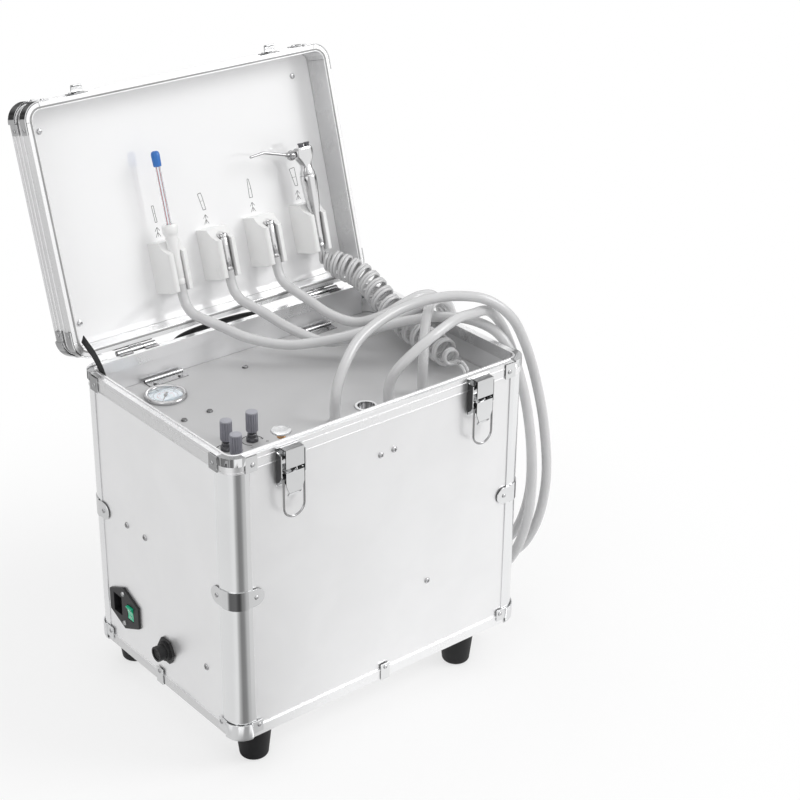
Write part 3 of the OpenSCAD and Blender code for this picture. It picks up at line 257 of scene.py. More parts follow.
def polar(middle, radius, degrees):
    """The point at a distance and an angle from a middle."""
    a = math.radians(degrees)
    return middle[0] + radius * math.cos(a), middle[1] + radius * math.sin(a)


def fluted(count, z, radius):
    """A level ring whose radius is a function of each point's number."""
    return [(radius(k) * math.cos(math.tau * k / count),
             radius(k) * math.sin(math.tau * k / count), z) for k in range(count)]


def tangent(path, i):
    """Direction of a path at one of its points."""
    return (Vector(path[min(i + 1, len(path) - 1)]) - Vector(path[max(i - 1, 0)])).normalized()


def carried(path):
    """Side vectors carried along a path with no twist."""
    t = tangent(path, 0)
    a = Vector((0, 0, 1)) if abs(t.z) < 0.8 else Vector((1, 0, 0))
    frames = []
    for i in range(len(path)):
        t = tangent(path, i)
        a = (a - t * a.dot(t)).normalized()
        frames.append((a, t.cross(a)))
    return frames


def bridge(start, start_way, end, end_way, count):
    """Points of a curve that leaves one point and reaches another in given ways."""
    reach = 0.4 * (end - start).length
    a, b, c, d = start, start + start_way * reach, end - end_way * reach, end
    made = []
    for k in range(1, count):
        t = k / count
        made.append(a * (1 - t) ** 3 + b * 3 * t * (1 - t) ** 2
                    + c * 3 * t * t * (1 - t) + d * t ** 3)
    return made


def curve_point(p, i, t):
    """Point between p[i] and p[i + 1] on the Catmull-Rom curve through all points."""
    a, b, c, d = p[max(i - 1, 0)], p[i], p[i + 1], p[min(i + 2, len(p) - 1)]
    return 0.5 * (2 * b + (c - a) * t + (2 * a - 5 * b + 4 * c - d) * t * t
                  + (3 * b - a - 3 * c + d) * t * t * t)


def smooth_path(points, steps):
    """A curve through the points, in steps from each to the next."""
    p = [Vector(q) for q in points]
    return [curve_point(p, i, j / steps) for i in range(len(p) - 1) for j in range(steps)
            ] + [p[-1]]


def soften(obj, width_mm, segments=2):
    """Rounds the hard edges of a piece and keeps its flat faces flat."""
    steps = (
        ("Weld", "WELD", {"merge_threshold": 2e-6}),
        ("Planar", "DECIMATE", {"decimate_type": "DISSOLVE",
                                "angle_limit": math.radians(0.6)}),
        ("Bevel", "BEVEL", {"width": width_mm * MM, "segments": segments,
                            "limit_method": "ANGLE", "angle_limit": math.radians(30)}),
        ("Normals", "WEIGHTED_NORMAL", {"keep_sharp": True, "weight": 80}))
    for name, kind, settings in steps:
        modifier = obj.modifiers.new(name, kind)
        for key, value in settings.items():
            setattr(modifier, key, value)


# ---- Shader node groups ----


def new_group(name, inputs, outputs):
    """A node group with its sockets, as (group, what enters it, what leaves it)."""
    group = bpy.data.node_groups.new(name, "ShaderNodeTree")
    for label, kind, default in inputs:
        socket = group.interface.new_socket(label, in_out="INPUT", socket_type=kind)
        socket.default_value = default
    for label, kind in outputs:
        group.interface.new_socket(label, in_out="OUTPUT", socket_type=kind)
    enter = group.nodes.new("NodeGroupInput")
    leave = group.nodes.new("NodeGroupOutput")
    return group, enter.outputs, leave.inputs


def add_node(tree, kind, links=None, **settings):
    """Adds a node, sets its properties, and links or sets its inputs by name or number."""
    node = tree.nodes.new(kind)
    for key, value in settings.items():
        setattr(node, key, value)
    for key, value in (links or {}).items():
        if isinstance(value, bpy.types.NodeSocket):
            tree.links.new(value, node.inputs[key])
        else:
            node.inputs[key].default_value = value
    return node


def math_node(tree, operation, a, b=None, clamp=False):
    """Result of a Math node on one or two values."""
    links = {0: a} if b is None else {0: a, 1: b}
    return add_node(tree, "ShaderNodeMath", links, operation=operation,
                    use_clamp=clamp).outputs[0]


def map_range(tree, value, start, end, low=0.0, high=1.0, smooth=False):
    """Result of a Map Range node that takes start to low and end to high."""
    return add_node(tree, "ShaderNodeMapRange",
                    {"Value": value, "From Min": start, "From Max": end, "To Min": low,
                     "To Max": high},
                    interpolation_type="SMOOTHSTEP" if smooth else "LINEAR").outputs["Result"]


def noise(tree, vector, scale, **inputs):
    """Value of a Noise Texture node."""
    given = {"Vector": vector, "Scale": scale, **inputs}
    return add_node(tree, "ShaderNodeTexNoise", given).outputs["Fac"]


def axis_share(tree, vector, axis):
    """One component of a vector."""
    return add_node(tree, "ShaderNodeSeparateXYZ", {0: vector}).outputs[axis]


def grain_group():
    """Fine grain of a rolled, drawn or moulded surface, stretched along one way."""
    group, given, out = new_group(
        "Surface Grain",
        [("Scale", "NodeSocketFloat", 900.0), ("Stretch", "NodeSocketVector", (1.0, 1.0, 1.0)),
         ("Detail", "NodeSocketFloat", 2.0)],
        [("Grain", "NodeSocketFloat")])
    place = add_node(group, "ShaderNodeTexCoord").outputs["Object"]
    drawn = add_node(group, "ShaderNodeVectorMath", {0: place, 1: given["Stretch"]},
                     operation="MULTIPLY").outputs[0]
    grain = noise(group, drawn, given["Scale"], Detail=given["Detail"], Roughness=0.6)
    group.links.new(grain, out["Grain"])
    return group


def handling_group():
    """Soft cloudy patches where hands and cloths have been, and thin scuffs."""
    group, given, out = new_group(
        "Handling Marks",
        [("Patch Scale", "NodeSocketFloat", 14.0), ("Scuff Scale", "NodeSocketFloat", 90.0),
         ("Scuff Share", "NodeSocketFloat", 0.35)],
        [("Patches", "NodeSocketFloat"), ("Scuffs", "NodeSocketFloat")])
    place = add_node(group, "ShaderNodeTexCoord").outputs["Object"]
    cloud = noise(group, place, given["Patch Scale"], Detail=3.0, Roughness=0.55,
                  Distortion=0.4)
    group.links.new(map_range(group, cloud, 0.3, 0.7, smooth=True), out["Patches"])
    turned = add_node(group, "ShaderNodeMapping",
                      {"Vector": place, "Rotation": (0.4, 0.9, 0.6), "Scale": (1.0, 0.06, 0.4)})
    lines = noise(group, turned.outputs[0], given["Scuff Scale"], Detail=4.0, Roughness=0.7)
    thin = map_range(group, lines, 0.63, 0.72, smooth=True)
    group.links.new(math_node(group, "MULTIPLY", thin, given["Scuff Share"]), out["Scuffs"])
    return group


def edge_group():
    """Mask of the outer edges, where plating and paint are rubbed."""
    group, given, out = new_group(
        "Edge Wear",
        [("Radius", "NodeSocketFloat", 0.0008), ("Break-up Scale", "NodeSocketFloat", 160.0)],
        [("Mask", "NodeSocketFloat")])
    bent = add_node(group, "ShaderNodeBevel", {"Radius": given["Radius"]}, samples=4)
    plain = add_node(group, "ShaderNodeNewGeometry").outputs["Normal"]
    same = add_node(group, "ShaderNodeVectorMath", {0: bent.outputs[0], 1: plain},
                    operation="DOT_PRODUCT").outputs["Value"]
    turn = map_range(group, same, 0.995, 0.88)
    place = add_node(group, "ShaderNodeTexCoord").outputs["Object"]
    patchy = noise(group, place, given["Break-up Scale"], Detail=3.0)
    some = map_range(group, patchy, 0.38, 0.62)
    group.links.new(math_node(group, "MULTIPLY", turn, some), out["Mask"])
    return group


def dust_group():
    """Mask of thin dust that settles on faces that look up."""
    group, given, out = new_group(
        "Settled Dust",
        [("Scale", "NodeSocketFloat", 60.0), ("Amount", "NodeSocketFloat", 0.2)],
        [("Mask", "NodeSocketFloat")])
    normal = add_node(group, "ShaderNodeNewGeometry").outputs["Normal"]
    lying = map_range(group, axis_share(group, normal, "Z"), 0.2, 1.0)
    place = add_node(group, "ShaderNodeTexCoord").outputs["Object"]
    specks = noise(group, place, given["Scale"], Detail=6.0, Roughness=0.75)
    both = math_node(group, "MULTIPLY", lying, map_range(group, specks, 0.4, 0.75))
    group.links.new(math_node(group, "MULTIPLY", both, given["Amount"]), out["Mask"])
    return group


def painted_shade_group():
    """Mask of painted shade and painted reflection on plated sheet: a painted dark reflection on
    rounded corners, painted shade on side- and up-facing faces, and painted shade in narrow gaps.
    """
    group, given, out = new_group(
        "Painted Shade And Reflection",
        [("Gap", "NodeSocketFloat", 0.004), ("Corner Share", "NodeSocketFloat", 1.0),
         ("Side Share", "NodeSocketFloat", 0.0), ("Top Share", "NodeSocketFloat", 0.0),
         ("Gap Share", "NodeSocketFloat", 1.0)],
        [("Mask", "NodeSocketFloat")])
    geometry = add_node(group, "ShaderNodeNewGeometry").outputs
    parts = add_node(group, "ShaderNodeSeparateXYZ", {0: geometry["Normal"]}).outputs
    across = parts["X"]
    flats = []
    # Side- and up-facing faces are darkened: painted shade.
    for value, name in ((math_node(group, "ABSOLUTE", across), "Side Share"),
                        (parts["Z"], "Top Share")):
        flat = map_range(group, value, 0.8, 0.95, smooth=True)
        flats.append(math_node(group, "MULTIPLY", flat, given[name]))
    flat = math_node(group, "MAXIMUM", *flats)
    # Faces turned halfway to the side, as on rounded corners, get a painted dark reflection.
    square = math_node(group, "MULTIPLY", across, across)
    rest = math_node(group, "SUBTRACT", 1.0, square, clamp=True)
    both = math_node(group, "MULTIPLY", square, rest)
    corner = map_range(group, both, 0.1, 0.2, smooth=True)
    corner = math_node(group, "MULTIPLY", corner, given["Corner Share"])
    # Narrow gaps are darkened from ambient occlusion: painted shade.
    near = add_node(group, "ShaderNodeAmbientOcclusion", {"Distance": given["Gap"]},
                    samples=12)
    gap = map_range(group, near.outputs["AO"], 0.75, 0.3, smooth=True)
    gap = math_node(group, "MULTIPLY", gap, given["Gap Share"])
    both = math_node(group, "MAXIMUM", corner, flat)
    group.links.new(math_node(group, "MAXIMUM", both, gap), out["Mask"])
    return group


GROUPS = {}


def shared(name):
    """A shared node group, built the first time it is asked for."""
    makers = {"Surface Grain": grain_group, "Handling Marks": handling_group,
              "Edge Wear": edge_group, "Settled Dust": dust_group,
              "Painted Shade And Reflection": painted_shade_group}
    if name not in GROUPS:
        GROUPS[name] = makers[name]()
    return GROUPS[name]


def use_group(tree, name, **values):
    """Places a shared group in a material with its own values, and gives its outputs."""
    node = tree.nodes.new("ShaderNodeGroup")
    node.node_tree = shared(name)
    for key, value in values.items():
        node.inputs[key.replace("_", " ")].default_value = value
    return node.outputs


def mix_colour(tree, factor, a, b):
    """Colour between a and b by a factor."""
    node = tree.nodes.new("ShaderNodeMix")
    node.data_type = "RGBA"
    for index, value in ((0, factor), (6, a), (7, b)):
        if isinstance(value, bpy.types.NodeSocket):
            tree.links.new(value, node.inputs[index])
        else:
            node.inputs[index].default_value = value
    return node.outputs[2]


def new_material(name):
    """A material, with its node tree and its shader."""
    material = bpy.data.materials.new(name)
    material.use_nodes = True
    return material, material.node_tree, material.node_tree.nodes["Principled BSDF"]


FINISHES = {}
DUST_COLOUR = (0.62, 0.6, 0.57, 1.0)
# Near-black that painted shade and painted reflections darken the base colour towards.
PAINTED_SHADE_COLOUR = (0.05, 0.05, 0.052, 1.0)
WORN_COLOUR = (0.85, 0.85, 0.85)
SATIN_ROUGHNESS, SATIN_FADE = 0.42, 0.01


def finish(name, colour, metallic=0.0, roughness=(0.4, 0.5), grain=900.0,
           stretch=(1, 1, 1), bump=0.02, tint=0.06, wear=None, wear_colour=None, dust=0.0,
           patch_scale=14.0, scuffs=0.25, shade=None, satin_below=0.0, **principled):
    """Builds a finish: a base colour that varies a little, roughness from grain and
    handling, a fine bump, rubbed edges and settled dust. The painted shade argument holds the
    corner, side, top and gap shares of painted shade and painted reflection, which are off
    below a height that is satin."""
    if name in FINISHES:
        return FINISHES[name]
    material, tree, shader = new_material(name)
    shader.inputs["Metallic"].default_value = metallic
    for key, value in principled.items():
        shader.inputs[key.replace("_", " ")].default_value = value
    colour = (*colour, 1.0)
    darker = tuple(c * (1 - tint) for c in colour[:3]) + (1.0,)
    fine = use_group(tree, "Surface Grain", Scale=grain, Stretch=stretch)["Grain"]
    marks = use_group(tree, "Handling Marks", Patch_Scale=patch_scale, Scuff_Share=scuffs)
    base = mix_colour(tree, marks["Patches"], darker, colour)
    if wear is not None:
        rubbed = use_group(tree, "Edge Wear", Radius=wear)["Mask"]
        base = mix_colour(tree, rubbed, base, (*(wear_colour or WORN_COLOUR), 1.0))
    if dust:
        settled = use_group(tree, "Settled Dust", Amount=dust)["Mask"]
        base = mix_colour(tree, settled, base, DUST_COLOUR)
    # Painted shade and painted reflection: the mask mixes the base colour towards near-black.
    if shade is not None:
        painted_dark = use_group(tree, "Painted Shade And Reflection", Corner_Share=shade[0], Side_Share=shade[1],
                        Top_Share=shade[2], Gap_Share=shade[3])["Mask"]
        if satin_below:
            place = add_node(tree, "ShaderNodeNewGeometry").outputs["Position"]
            up = map_range(tree, axis_share(tree, place, "Z"), satin_below,
                           satin_below + SATIN_FADE)
            painted_dark = math_node(tree, "MULTIPLY", painted_dark, up)
        base = mix_colour(tree, painted_dark, base, PAINTED_SHADE_COLOUR)
    tree.links.new(base, shader.inputs["Base Color"])
    grainy = math_node(tree, "MULTIPLY", fine, 0.5)
    cloudy = math_node(tree, "MULTIPLY", marks["Patches"], 0.5)
    level = math_node(tree, "ADD", grainy, cloudy)
    level = math_node(tree, "ADD", level, marks["Scuffs"], clamp=True)
    rough = map_range(tree, level, 0.0, 1.0, *roughness)
    if satin_below:
        satin = map_range(tree, up, 0.0, 1.0, SATIN_ROUGHNESS, 0.0)
        rough = math_node(tree, "ADD", rough, satin)
    tree.links.new(rough, shader.inputs["Roughness"])
    if bump:
        relief = add_node(tree, "ShaderNodeBump",
                          {"Height": fine, "Strength": 0.35, "Distance": bump * MM})
        tree.links.new(relief.outputs[0], shader.inputs["Normal"])
    FINISHES[name] = material
    return material


def clear_finish(name, colour, roughness, ior):
    """A clear glass or plastic, with faint smears."""
    material, tree, shader = new_material(name)
    shader.inputs["Base Color"].default_value = (*colour, 1.0)
    shader.inputs["Transmission Weight"].default_value = 1.0
    shader.inputs["IOR"].default_value = ior
    marks = use_group(tree, "Handling Marks", Patch_Scale=40.0, Scuff_Share=0.2)
    smears = map_range(tree, marks["Patches"], 0.0, 1.0, roughness, roughness + 0.05)
    tree.links.new(smears, shader.inputs["Roughness"])
    FINISHES[name] = material
    return material


def plated(colour, roughness, shade, **more):
    """Values of a plated sheet metal."""
    return dict(colour=colour, metallic=1.0, roughness=roughness, grain=300.0, bump=0.004,
                tint=0.05, shade=shade, **more)


def slot_finish(slot):
    """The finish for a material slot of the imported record, or for one node's own plating."""
    if slot in FINISHES:
        return FINISHES[slot]
    s = bpy.context.scene.unit_finish
    chrome = (0.80, 0.805, 0.81)
    if slot == "clear_glass":
        return clear_finish(slot, (0.97, 0.985, 1.0), 0.0, 1.5)
    if slot == "clear_tube":
        return clear_finish(slot, (0.93, 0.96, 0.98), 0.05, 1.49)
    # The painted shade values are the corner, side, top and gap shares of painted shade and painted
    # reflection.
    table = {
        "panel": dict(colour=tuple(s.panel), metallic=0.85, roughness=(0.34, 0.42),
                      grain=1500.0, bump=0.015, tint=0.03, scuffs=0.12),
        "post": dict(colour=(0.86, 0.865, 0.87), metallic=1.0, roughness=(0.13, 0.2),
                     stretch=(1, 1, 0.03), bump=0.004, tint=0.03, wear=0.0006),
        "extrusion": dict(colour=(0.90, 0.90, 0.905), metallic=0.85, roughness=(0.24, 0.32),
                          grain=1400.0, bump=0.0, tint=0.01, scuffs=0.0,
                          shade=(0.0, 0.24, 0.0, 0.0)),
        "chromed_sheet": plated(chrome, (0.05, 0.12), (0.85, 0.6, 0.4, 1.0),
                                satin_below=0.09),
        "fastener": dict(colour=(0.72, 0.72, 0.73), metallic=1.0, roughness=(0.12, 0.3),
                         grain=1200.0, bump=0.004, tint=0.08,
                         shade=(0.5, 0.55, 0.0, 0.45)),
        "foot_rubber": dict(colour=(0.012, 0.012, 0.013), roughness=(0.5, 0.7),
                            grain=800.0, bump=0.05, tint=0.35, wear=0.0015,
                            wear_colour=(0.04, 0.04, 0.042), dust=0.15,
                            Specular_IOR_Level=0.3),
        "cast_alloy": dict(colour=(0.33, 0.34, 0.35), metallic=0.9, roughness=(0.4, 0.62),
                           grain=400.0, bump=0.08, tint=0.15),
        "tank_paint": dict(colour=(0.8, 0.8, 0.78), roughness=(0.22, 0.36), grain=500.0,
                           tint=0.05),
        "bottle": dict(colour=(0.86, 0.87, 0.85), roughness=(0.3, 0.42), grain=400.0,
                       tint=0.05, Transmission_Weight=0.4),
        "black_plastic": dict(colour=(0.017, 0.017, 0.018), roughness=(0.34, 0.5),
                              grain=1400.0, tint=0.2, wear=0.0005,
                              wear_colour=(0.05, 0.05, 0.05), Specular_IOR_Level=0.3),
        "green_plastic": dict(colour=(0.01, 0.5, 0.26), roughness=(0.12, 0.24), bump=0.0,
                              tint=0.08, Coat_Weight=0.4),
        # Copies of the plating with their own grey and painted shade: darker latch cheeks, greyer
        # deck hinges.
        "latch_steel_painted_shade": plated((0.74, 0.745, 0.75), (0.08, 0.16), (0.9, 0.94, 0.3, 1.0)),
        "hinge_steel_painted_shade": plated((0.62, 0.62, 0.625), (0.14, 0.24), (0.6, 0.8, 0.65, 1.0)),
        "strap_steel_painted_shade": plated(chrome, (0.05, 0.12), (0.88, 0.12, 0.3, 1.0)),
        "steel_wire": dict(colour=(0.42, 0.42, 0.425), metallic=1.0, roughness=(0.1, 0.24),
                           grain=600.0, bump=0.01, tint=0.08),
        "deck_paint": dict(colour=tuple(s.deck), metallic=0.2, roughness=(0.5, 0.62),
                           grain=1100.0, tint=0.035, dust=0.06),
        "polished_steel": dict(colour=(0.78, 0.78, 0.785), metallic=1.0,
                               roughness=(0.08, 0.16), stretch=(0.15, 1, 1),
                               bump=0.003, tint=0.05, shade=(0.5, 0.0, 0.0, 0.8)),
        "dial_face": dict(colour=(0.80, 0.88, 0.93), roughness=(0.35, 0.45), grain=1000.0,
                          bump=0.0, tint=0.02),
        "dark_metal": dict(colour=(0.13, 0.13, 0.14), metallic=0.9, roughness=(0.3, 0.45),
                           tint=0.15, wear=0.0004, wear_colour=(0.4, 0.4, 0.4)),
        "knob_plastic": dict(colour=tuple(s.knob), roughness=(0.4, 0.55), grain=1200.0,
                             wear=0.0004, wear_colour=(0.42, 0.42, 0.47), dust=0.08),
        "copper_alloy": dict(colour=(0.62, 0.36, 0.17), metallic=1.0, roughness=(0.16, 0.3),
                             grain=800.0, stretch=(1, 1, 0.1), bump=0.01, tint=0.12),
        "button_aluminium": dict(colour=(0.84, 0.845, 0.85), metallic=1.0,
                                 roughness=(0.18, 0.3), bump=0.01, tint=0.04),
        "grey_plastic": dict(colour=(0.46, 0.46, 0.47), roughness=(0.38, 0.52)),
        "lid_plastic": dict(colour=tuple(s.lid), roughness=(0.06, 0.14), grain=500.0,
                            bump=0.004, tint=0.015, patch_scale=5.0, scuffs=0.1,
                            Coat_Weight=1.0, Coat_Roughness=0.04, Coat_IOR=1.9),
        "black_rubber": dict(colour=(0.35, 0.35, 0.35), roughness=(0.5, 0.7), bump=0.03,
                             tint=0.2),
        "white_plastic": dict(colour=tuple(s.holder), roughness=(0.24, 0.36), bump=0.015,
                              tint=0.025, wear=0.0006, wear_colour=(0.86, 0.86, 0.855)),
        "hose_rubber": dict(colour=tuple(s.hose), roughness=(0.2, 0.3), grain=1100.0,
                            bump=0.01, tint=0.05, patch_scale=24.0, scuffs=0.1,
                            Coat_Weight=0.35, Coat_Roughness=0.12),
        "webbing": dict(colour=(0.02, 0.02, 0.021), roughness=(0.7, 0.85), grain=1500.0,
                        stretch=(1, 0.3, 1), bump=0.12, tint=0.3),
    }
    return finish(slot, **table[slot])


# ---- Settings ----


def power_of(name, description, value):
    """A lamp's power that the panel shows."""
    return FloatProperty(name=name, description=description, default=value, min=0.0,
                         unit="POWER")


def colour_of(name, description, value):
    """A colour that the panel shows."""
    return FloatVectorProperty(name=name, description=description, default=value,
                               subtype="COLOR", size=3, min=0.0, max=1.0)


class StageSettings(PropertyGroup):
    """Values of the lights, the room and the floor"""
    key_power: power_of("Key light", "Power of the large key light", 38.0)
    fill_power: power_of("Fill light", "Power of the fill light", 9.0)
    top_power: power_of("Top light", "Power of the overhead light", 9.0)
    ambient: FloatProperty(name="Room light", description="Strength of the even room light",
                           default=0.7, min=0.0, max=2.0)
    floor_colour: colour_of("Floor", "Colour of the floor", (0.85, 0.85, 0.85))
    floor_width: FloatProperty(name="Floor width", description="Width of the floor",
                               default=12.0, min=1.0, unit="LENGTH")


class FinishSettings(PropertyGroup):
    """Main colours of the unit, and how round its sheet edges are"""
    panel: colour_of("Panels", "Colour of the case's panels", (0.89, 0.89, 0.895))
    deck: colour_of("Deck", "Colour of the deck", (0.55, 0.55, 0.555))
    lid: colour_of("Lid liner", "Colour of the lid's inner panel", (0.93, 0.93, 0.935))
    holder: colour_of("Holders", "Colour of the white mouldings", (0.87, 0.87, 0.865))
    hose: colour_of("Hoses", "Colour of the hoses", (0.60, 0.60, 0.605))
    knob: colour_of("Knobs", "Colour of the valve knobs", (0.28, 0.28, 0.32))
    edge_round: FloatProperty(name="Edge rounding", description="Radius of sheet edges",
                              default=0.0004, min=0.0, unit="LENGTH")


class HoseSettings(PropertyGroup):
    """Sizes of the hoses"""
    diameter: FloatProperty(name="Hose diameter", description="Outside of the three hoses",
                            default=HOSE_D * MM, min=0.004, max=0.02, unit="LENGTH")
    curl_diameter: FloatProperty(name="Twin tube diameter",
                                 description="Outside of each tube of the curly hose",
                                 default=CURL_TUBE_D * MM, min=0.002, max=0.008,
                                 unit="LENGTH")
    sides: IntProperty(name="Hose sides", description="Sides of a hose's section",
                       default=24, min=8, max=64)


# ---- Stage ----

CAMERA_AT = (-1152.7, -1618.2, 1316.1)
CAMERA_AZIMUTH, CAMERA_ELEVATION, CAMERA_ROLL = 39.75, 26.51, 0.71
CAMERA_LENS = 84.24
CARD_AT = (-0.185, -0.16, 0.001)


def add_camera():
    """Adds the camera where the photo was taken from."""
    azimuth, elevation, roll = (math.radians(v) for v in
                                (CAMERA_AZIMUTH, CAMERA_ELEVATION, CAMERA_ROLL))
    forward = Vector((math.sin(azimuth) * math.cos(elevation),
                      math.cos(azimuth) * math.cos(elevation), -math.sin(elevation)))
    right = Vector((math.cos(azimuth), -math.sin(azimuth), 0))
    up = right.cross(forward)
    tilted = right * math.cos(roll) + up * math.sin(roll)
    raised = up * math.cos(roll) - right * math.sin(roll)
    data = bpy.data.cameras.new("Camera")
    data.lens, data.sensor_width = CAMERA_LENS, 36
    data.clip_start, data.clip_end = 0.05, 50
    camera = add_object("Camera", data)
    camera.matrix_world = Matrix.Translation(Vector(CAMERA_AT) * MM) @ Matrix(
        (tilted, raised, -forward)).transposed().to_4x4()
    bpy.context.scene.camera = camera


def add_area(name, at, target, size, power):
    """Adds a round lamp that faces a point."""
    data = bpy.data.lights.new(name, "AREA")
    data.shape, data.size, data.energy = "DISK", size, power
    lamp = add_object(name, data)
    lamp.location = at
    lamp.rotation_mode = "QUATERNION"
    lamp.rotation_quaternion = (Vector(target) - Vector(at)).to_track_quat("-Z", "Y")


def seen_directly(tree):
    """1 for rays that should see the white background: camera, glossy and transmission."""
    path = tree.nodes.new("ShaderNodeLightPath").outputs
    seen = math_node(tree, "MAXIMUM", path["Is Camera Ray"], path["Is Glossy Ray"])
    return math_node(tree, "MAXIMUM", seen, path["Is Transmission Ray"])


def ramp(tree, value, stops):
    """A grey that follows a value through (position, brightness) stops."""
    node = add_node(tree, "ShaderNodeValToRGB", {0: value})
    node.color_ramp.interpolation = "EASE"
    marks = node.color_ramp.elements
    while len(marks) < len(stops):
        marks.new(0.5)
    for mark, (at, grey) in zip(marks, stops):
        mark.position = at
        mark.color = (grey, grey, grey, 1.0)
    return node.outputs["Color"]


def add_plane(name, half):
    """A level square about its own origin."""
    mesh = bpy.data.meshes.new(name)
    mesh.from_pydata([(-half, -half, 0), (half, -half, 0), (half, half, 0), (-half, half, 0)],
                     [], [(0, 1, 2, 3)])
    return add_object(name, mesh)


class UNIT_OT_stage(Operator):
    """Adds the camera, the lamps, the room light and the pale floor"""
    bl_idname = "unit.stage"
    bl_label = "Stage"

    def execute(self, context):
        s = context.scene.unit_stage
        add_camera()
        middle = (0.0, -0.05, 0.3)
        add_area("Key", (1.9, -1.7, 2.2), middle, 1.6, s.key_power)
        add_area("Fill", (-2.3, -1.1, 1.6), middle, 1.8, s.fill_power)
        add_area("Top", (0.0, 0.6, 2.8), middle, 2.0, s.top_power)
        context.scene.view_settings.view_transform = "Standard"
        self.add_room(context.scene, s.ambient)
        self.add_floor(s)
        self.add_dark_card()
        return {"FINISHED"}

    def add_room(self, scene, ambient):
        """Even room light, white behind the unit, with dark lower walls in reflections."""
        world = bpy.data.worlds.new("Room")
        scene.world = world
        world.use_nodes = True
        tree = world.node_tree
        light = tree.nodes["Background"]
        light.inputs["Color"].default_value = (1, 1, 1, 1)
        light.inputs["Strength"].default_value = ambient
        way = add_node(tree, "ShaderNodeTexCoord").outputs["Generated"]
        walls = ramp(tree, axis_share(tree, way, "Z"), ((0.0, 0.1), (0.1, 0.12), (0.3, 1.0)))
        side = map_range(tree, axis_share(tree, way, "Y"), -0.7, -0.3, smooth=True)
        walls = mix_colour(tree, side, (1, 1, 1, 1), walls)
        glossy = tree.nodes.new("ShaderNodeLightPath").outputs["Is Glossy Ray"]
        seen = mix_colour(tree, glossy, (1, 1, 1, 1), walls)
        white = add_node(tree, "ShaderNodeBackground", {"Color": seen, "Strength": 1.0})
        mix = add_node(tree, "ShaderNodeMixShader", {0: seen_directly(tree)})
        tree.links.new(light.outputs[0], mix.inputs[1])
        tree.links.new(white.outputs[0], mix.inputs[2])
        tree.links.new(mix.outputs[0], tree.nodes["World Output"].inputs["Surface"])

    def add_floor(self, s):
        """A matt pale floor that fades to white away from the unit."""
        floor = add_plane("floor", s.floor_width / 2)
        material, tree, shader = new_material("floor_paper")
        shader.inputs["Base Color"].default_value = (*s.floor_colour, 1.0)
        shader.inputs["Roughness"].default_value = 0.9
        shader.inputs["Specular IOR Level"].default_value = 0.1
        place = add_node(tree, "ShaderNodeTexCoord").outputs["Object"]
        far = add_node(tree, "ShaderNodeVectorMath", {0: place}, operation="LENGTH")
        faded = map_range(tree, far.outputs["Value"], 0.32, 0.75, smooth=True)
        paper = map_range(tree, faded, 0.0, 1.0, 0.65, 1.0)
        share = math_node(tree, "MULTIPLY", paper, seen_directly(tree))
        glow = add_node(tree, "ShaderNodeEmission", {"Color": (1, 1, 1, 1), "Strength": 1.0})
        mix = add_node(tree, "ShaderNodeMixShader", {0: share})
        tree.links.new(shader.outputs[0], mix.inputs[1])
        tree.links.new(glow.outputs[0], mix.inputs[2])
        tree.links.new(mix.outputs[0], tree.nodes["Material Output"].inputs["Surface"])
        floor.data.materials.append(material)

    def add_dark_card(self):
        """A shaded card on the floor, seen only in reflections, darkest in front of the
        left corner."""
        card = add_plane("dark_card", 2)
        card.location = CARD_AT
        card.visible_camera = card.visible_diffuse = card.visible_shadow = False
        card.visible_transmission = card.visible_volume_scatter = False
        material, tree = new_material("dark_card")[:2]
        place = add_node(tree, "ShaderNodeTexCoord").outputs["Object"]
        ahead = math_node(tree, "MULTIPLY", axis_share(tree, place, "Y"), -1.0)
        turn = math_node(tree, "ARCTAN2", axis_share(tree, place, "X"), ahead)
        shade = ramp(tree, map_range(tree, turn, -math.pi, math.pi), (
            (0.0, 0.80), (0.28, 0.78), (0.37, 0.85), (0.415, 0.42), (0.445, 0.22), (0.49, 0.24),
            (0.55, 0.55), (0.61, 0.82), (0.68, 1.0), (1.0, 0.85)))
        glow = add_node(tree, "ShaderNodeEmission", {"Color": shade, "Strength": 1.0})
        tree.links.new(glow.outputs[0], tree.nodes["Material Output"].inputs["Surface"])
        card.data.materials.append(material)


# ---- Hoses ----

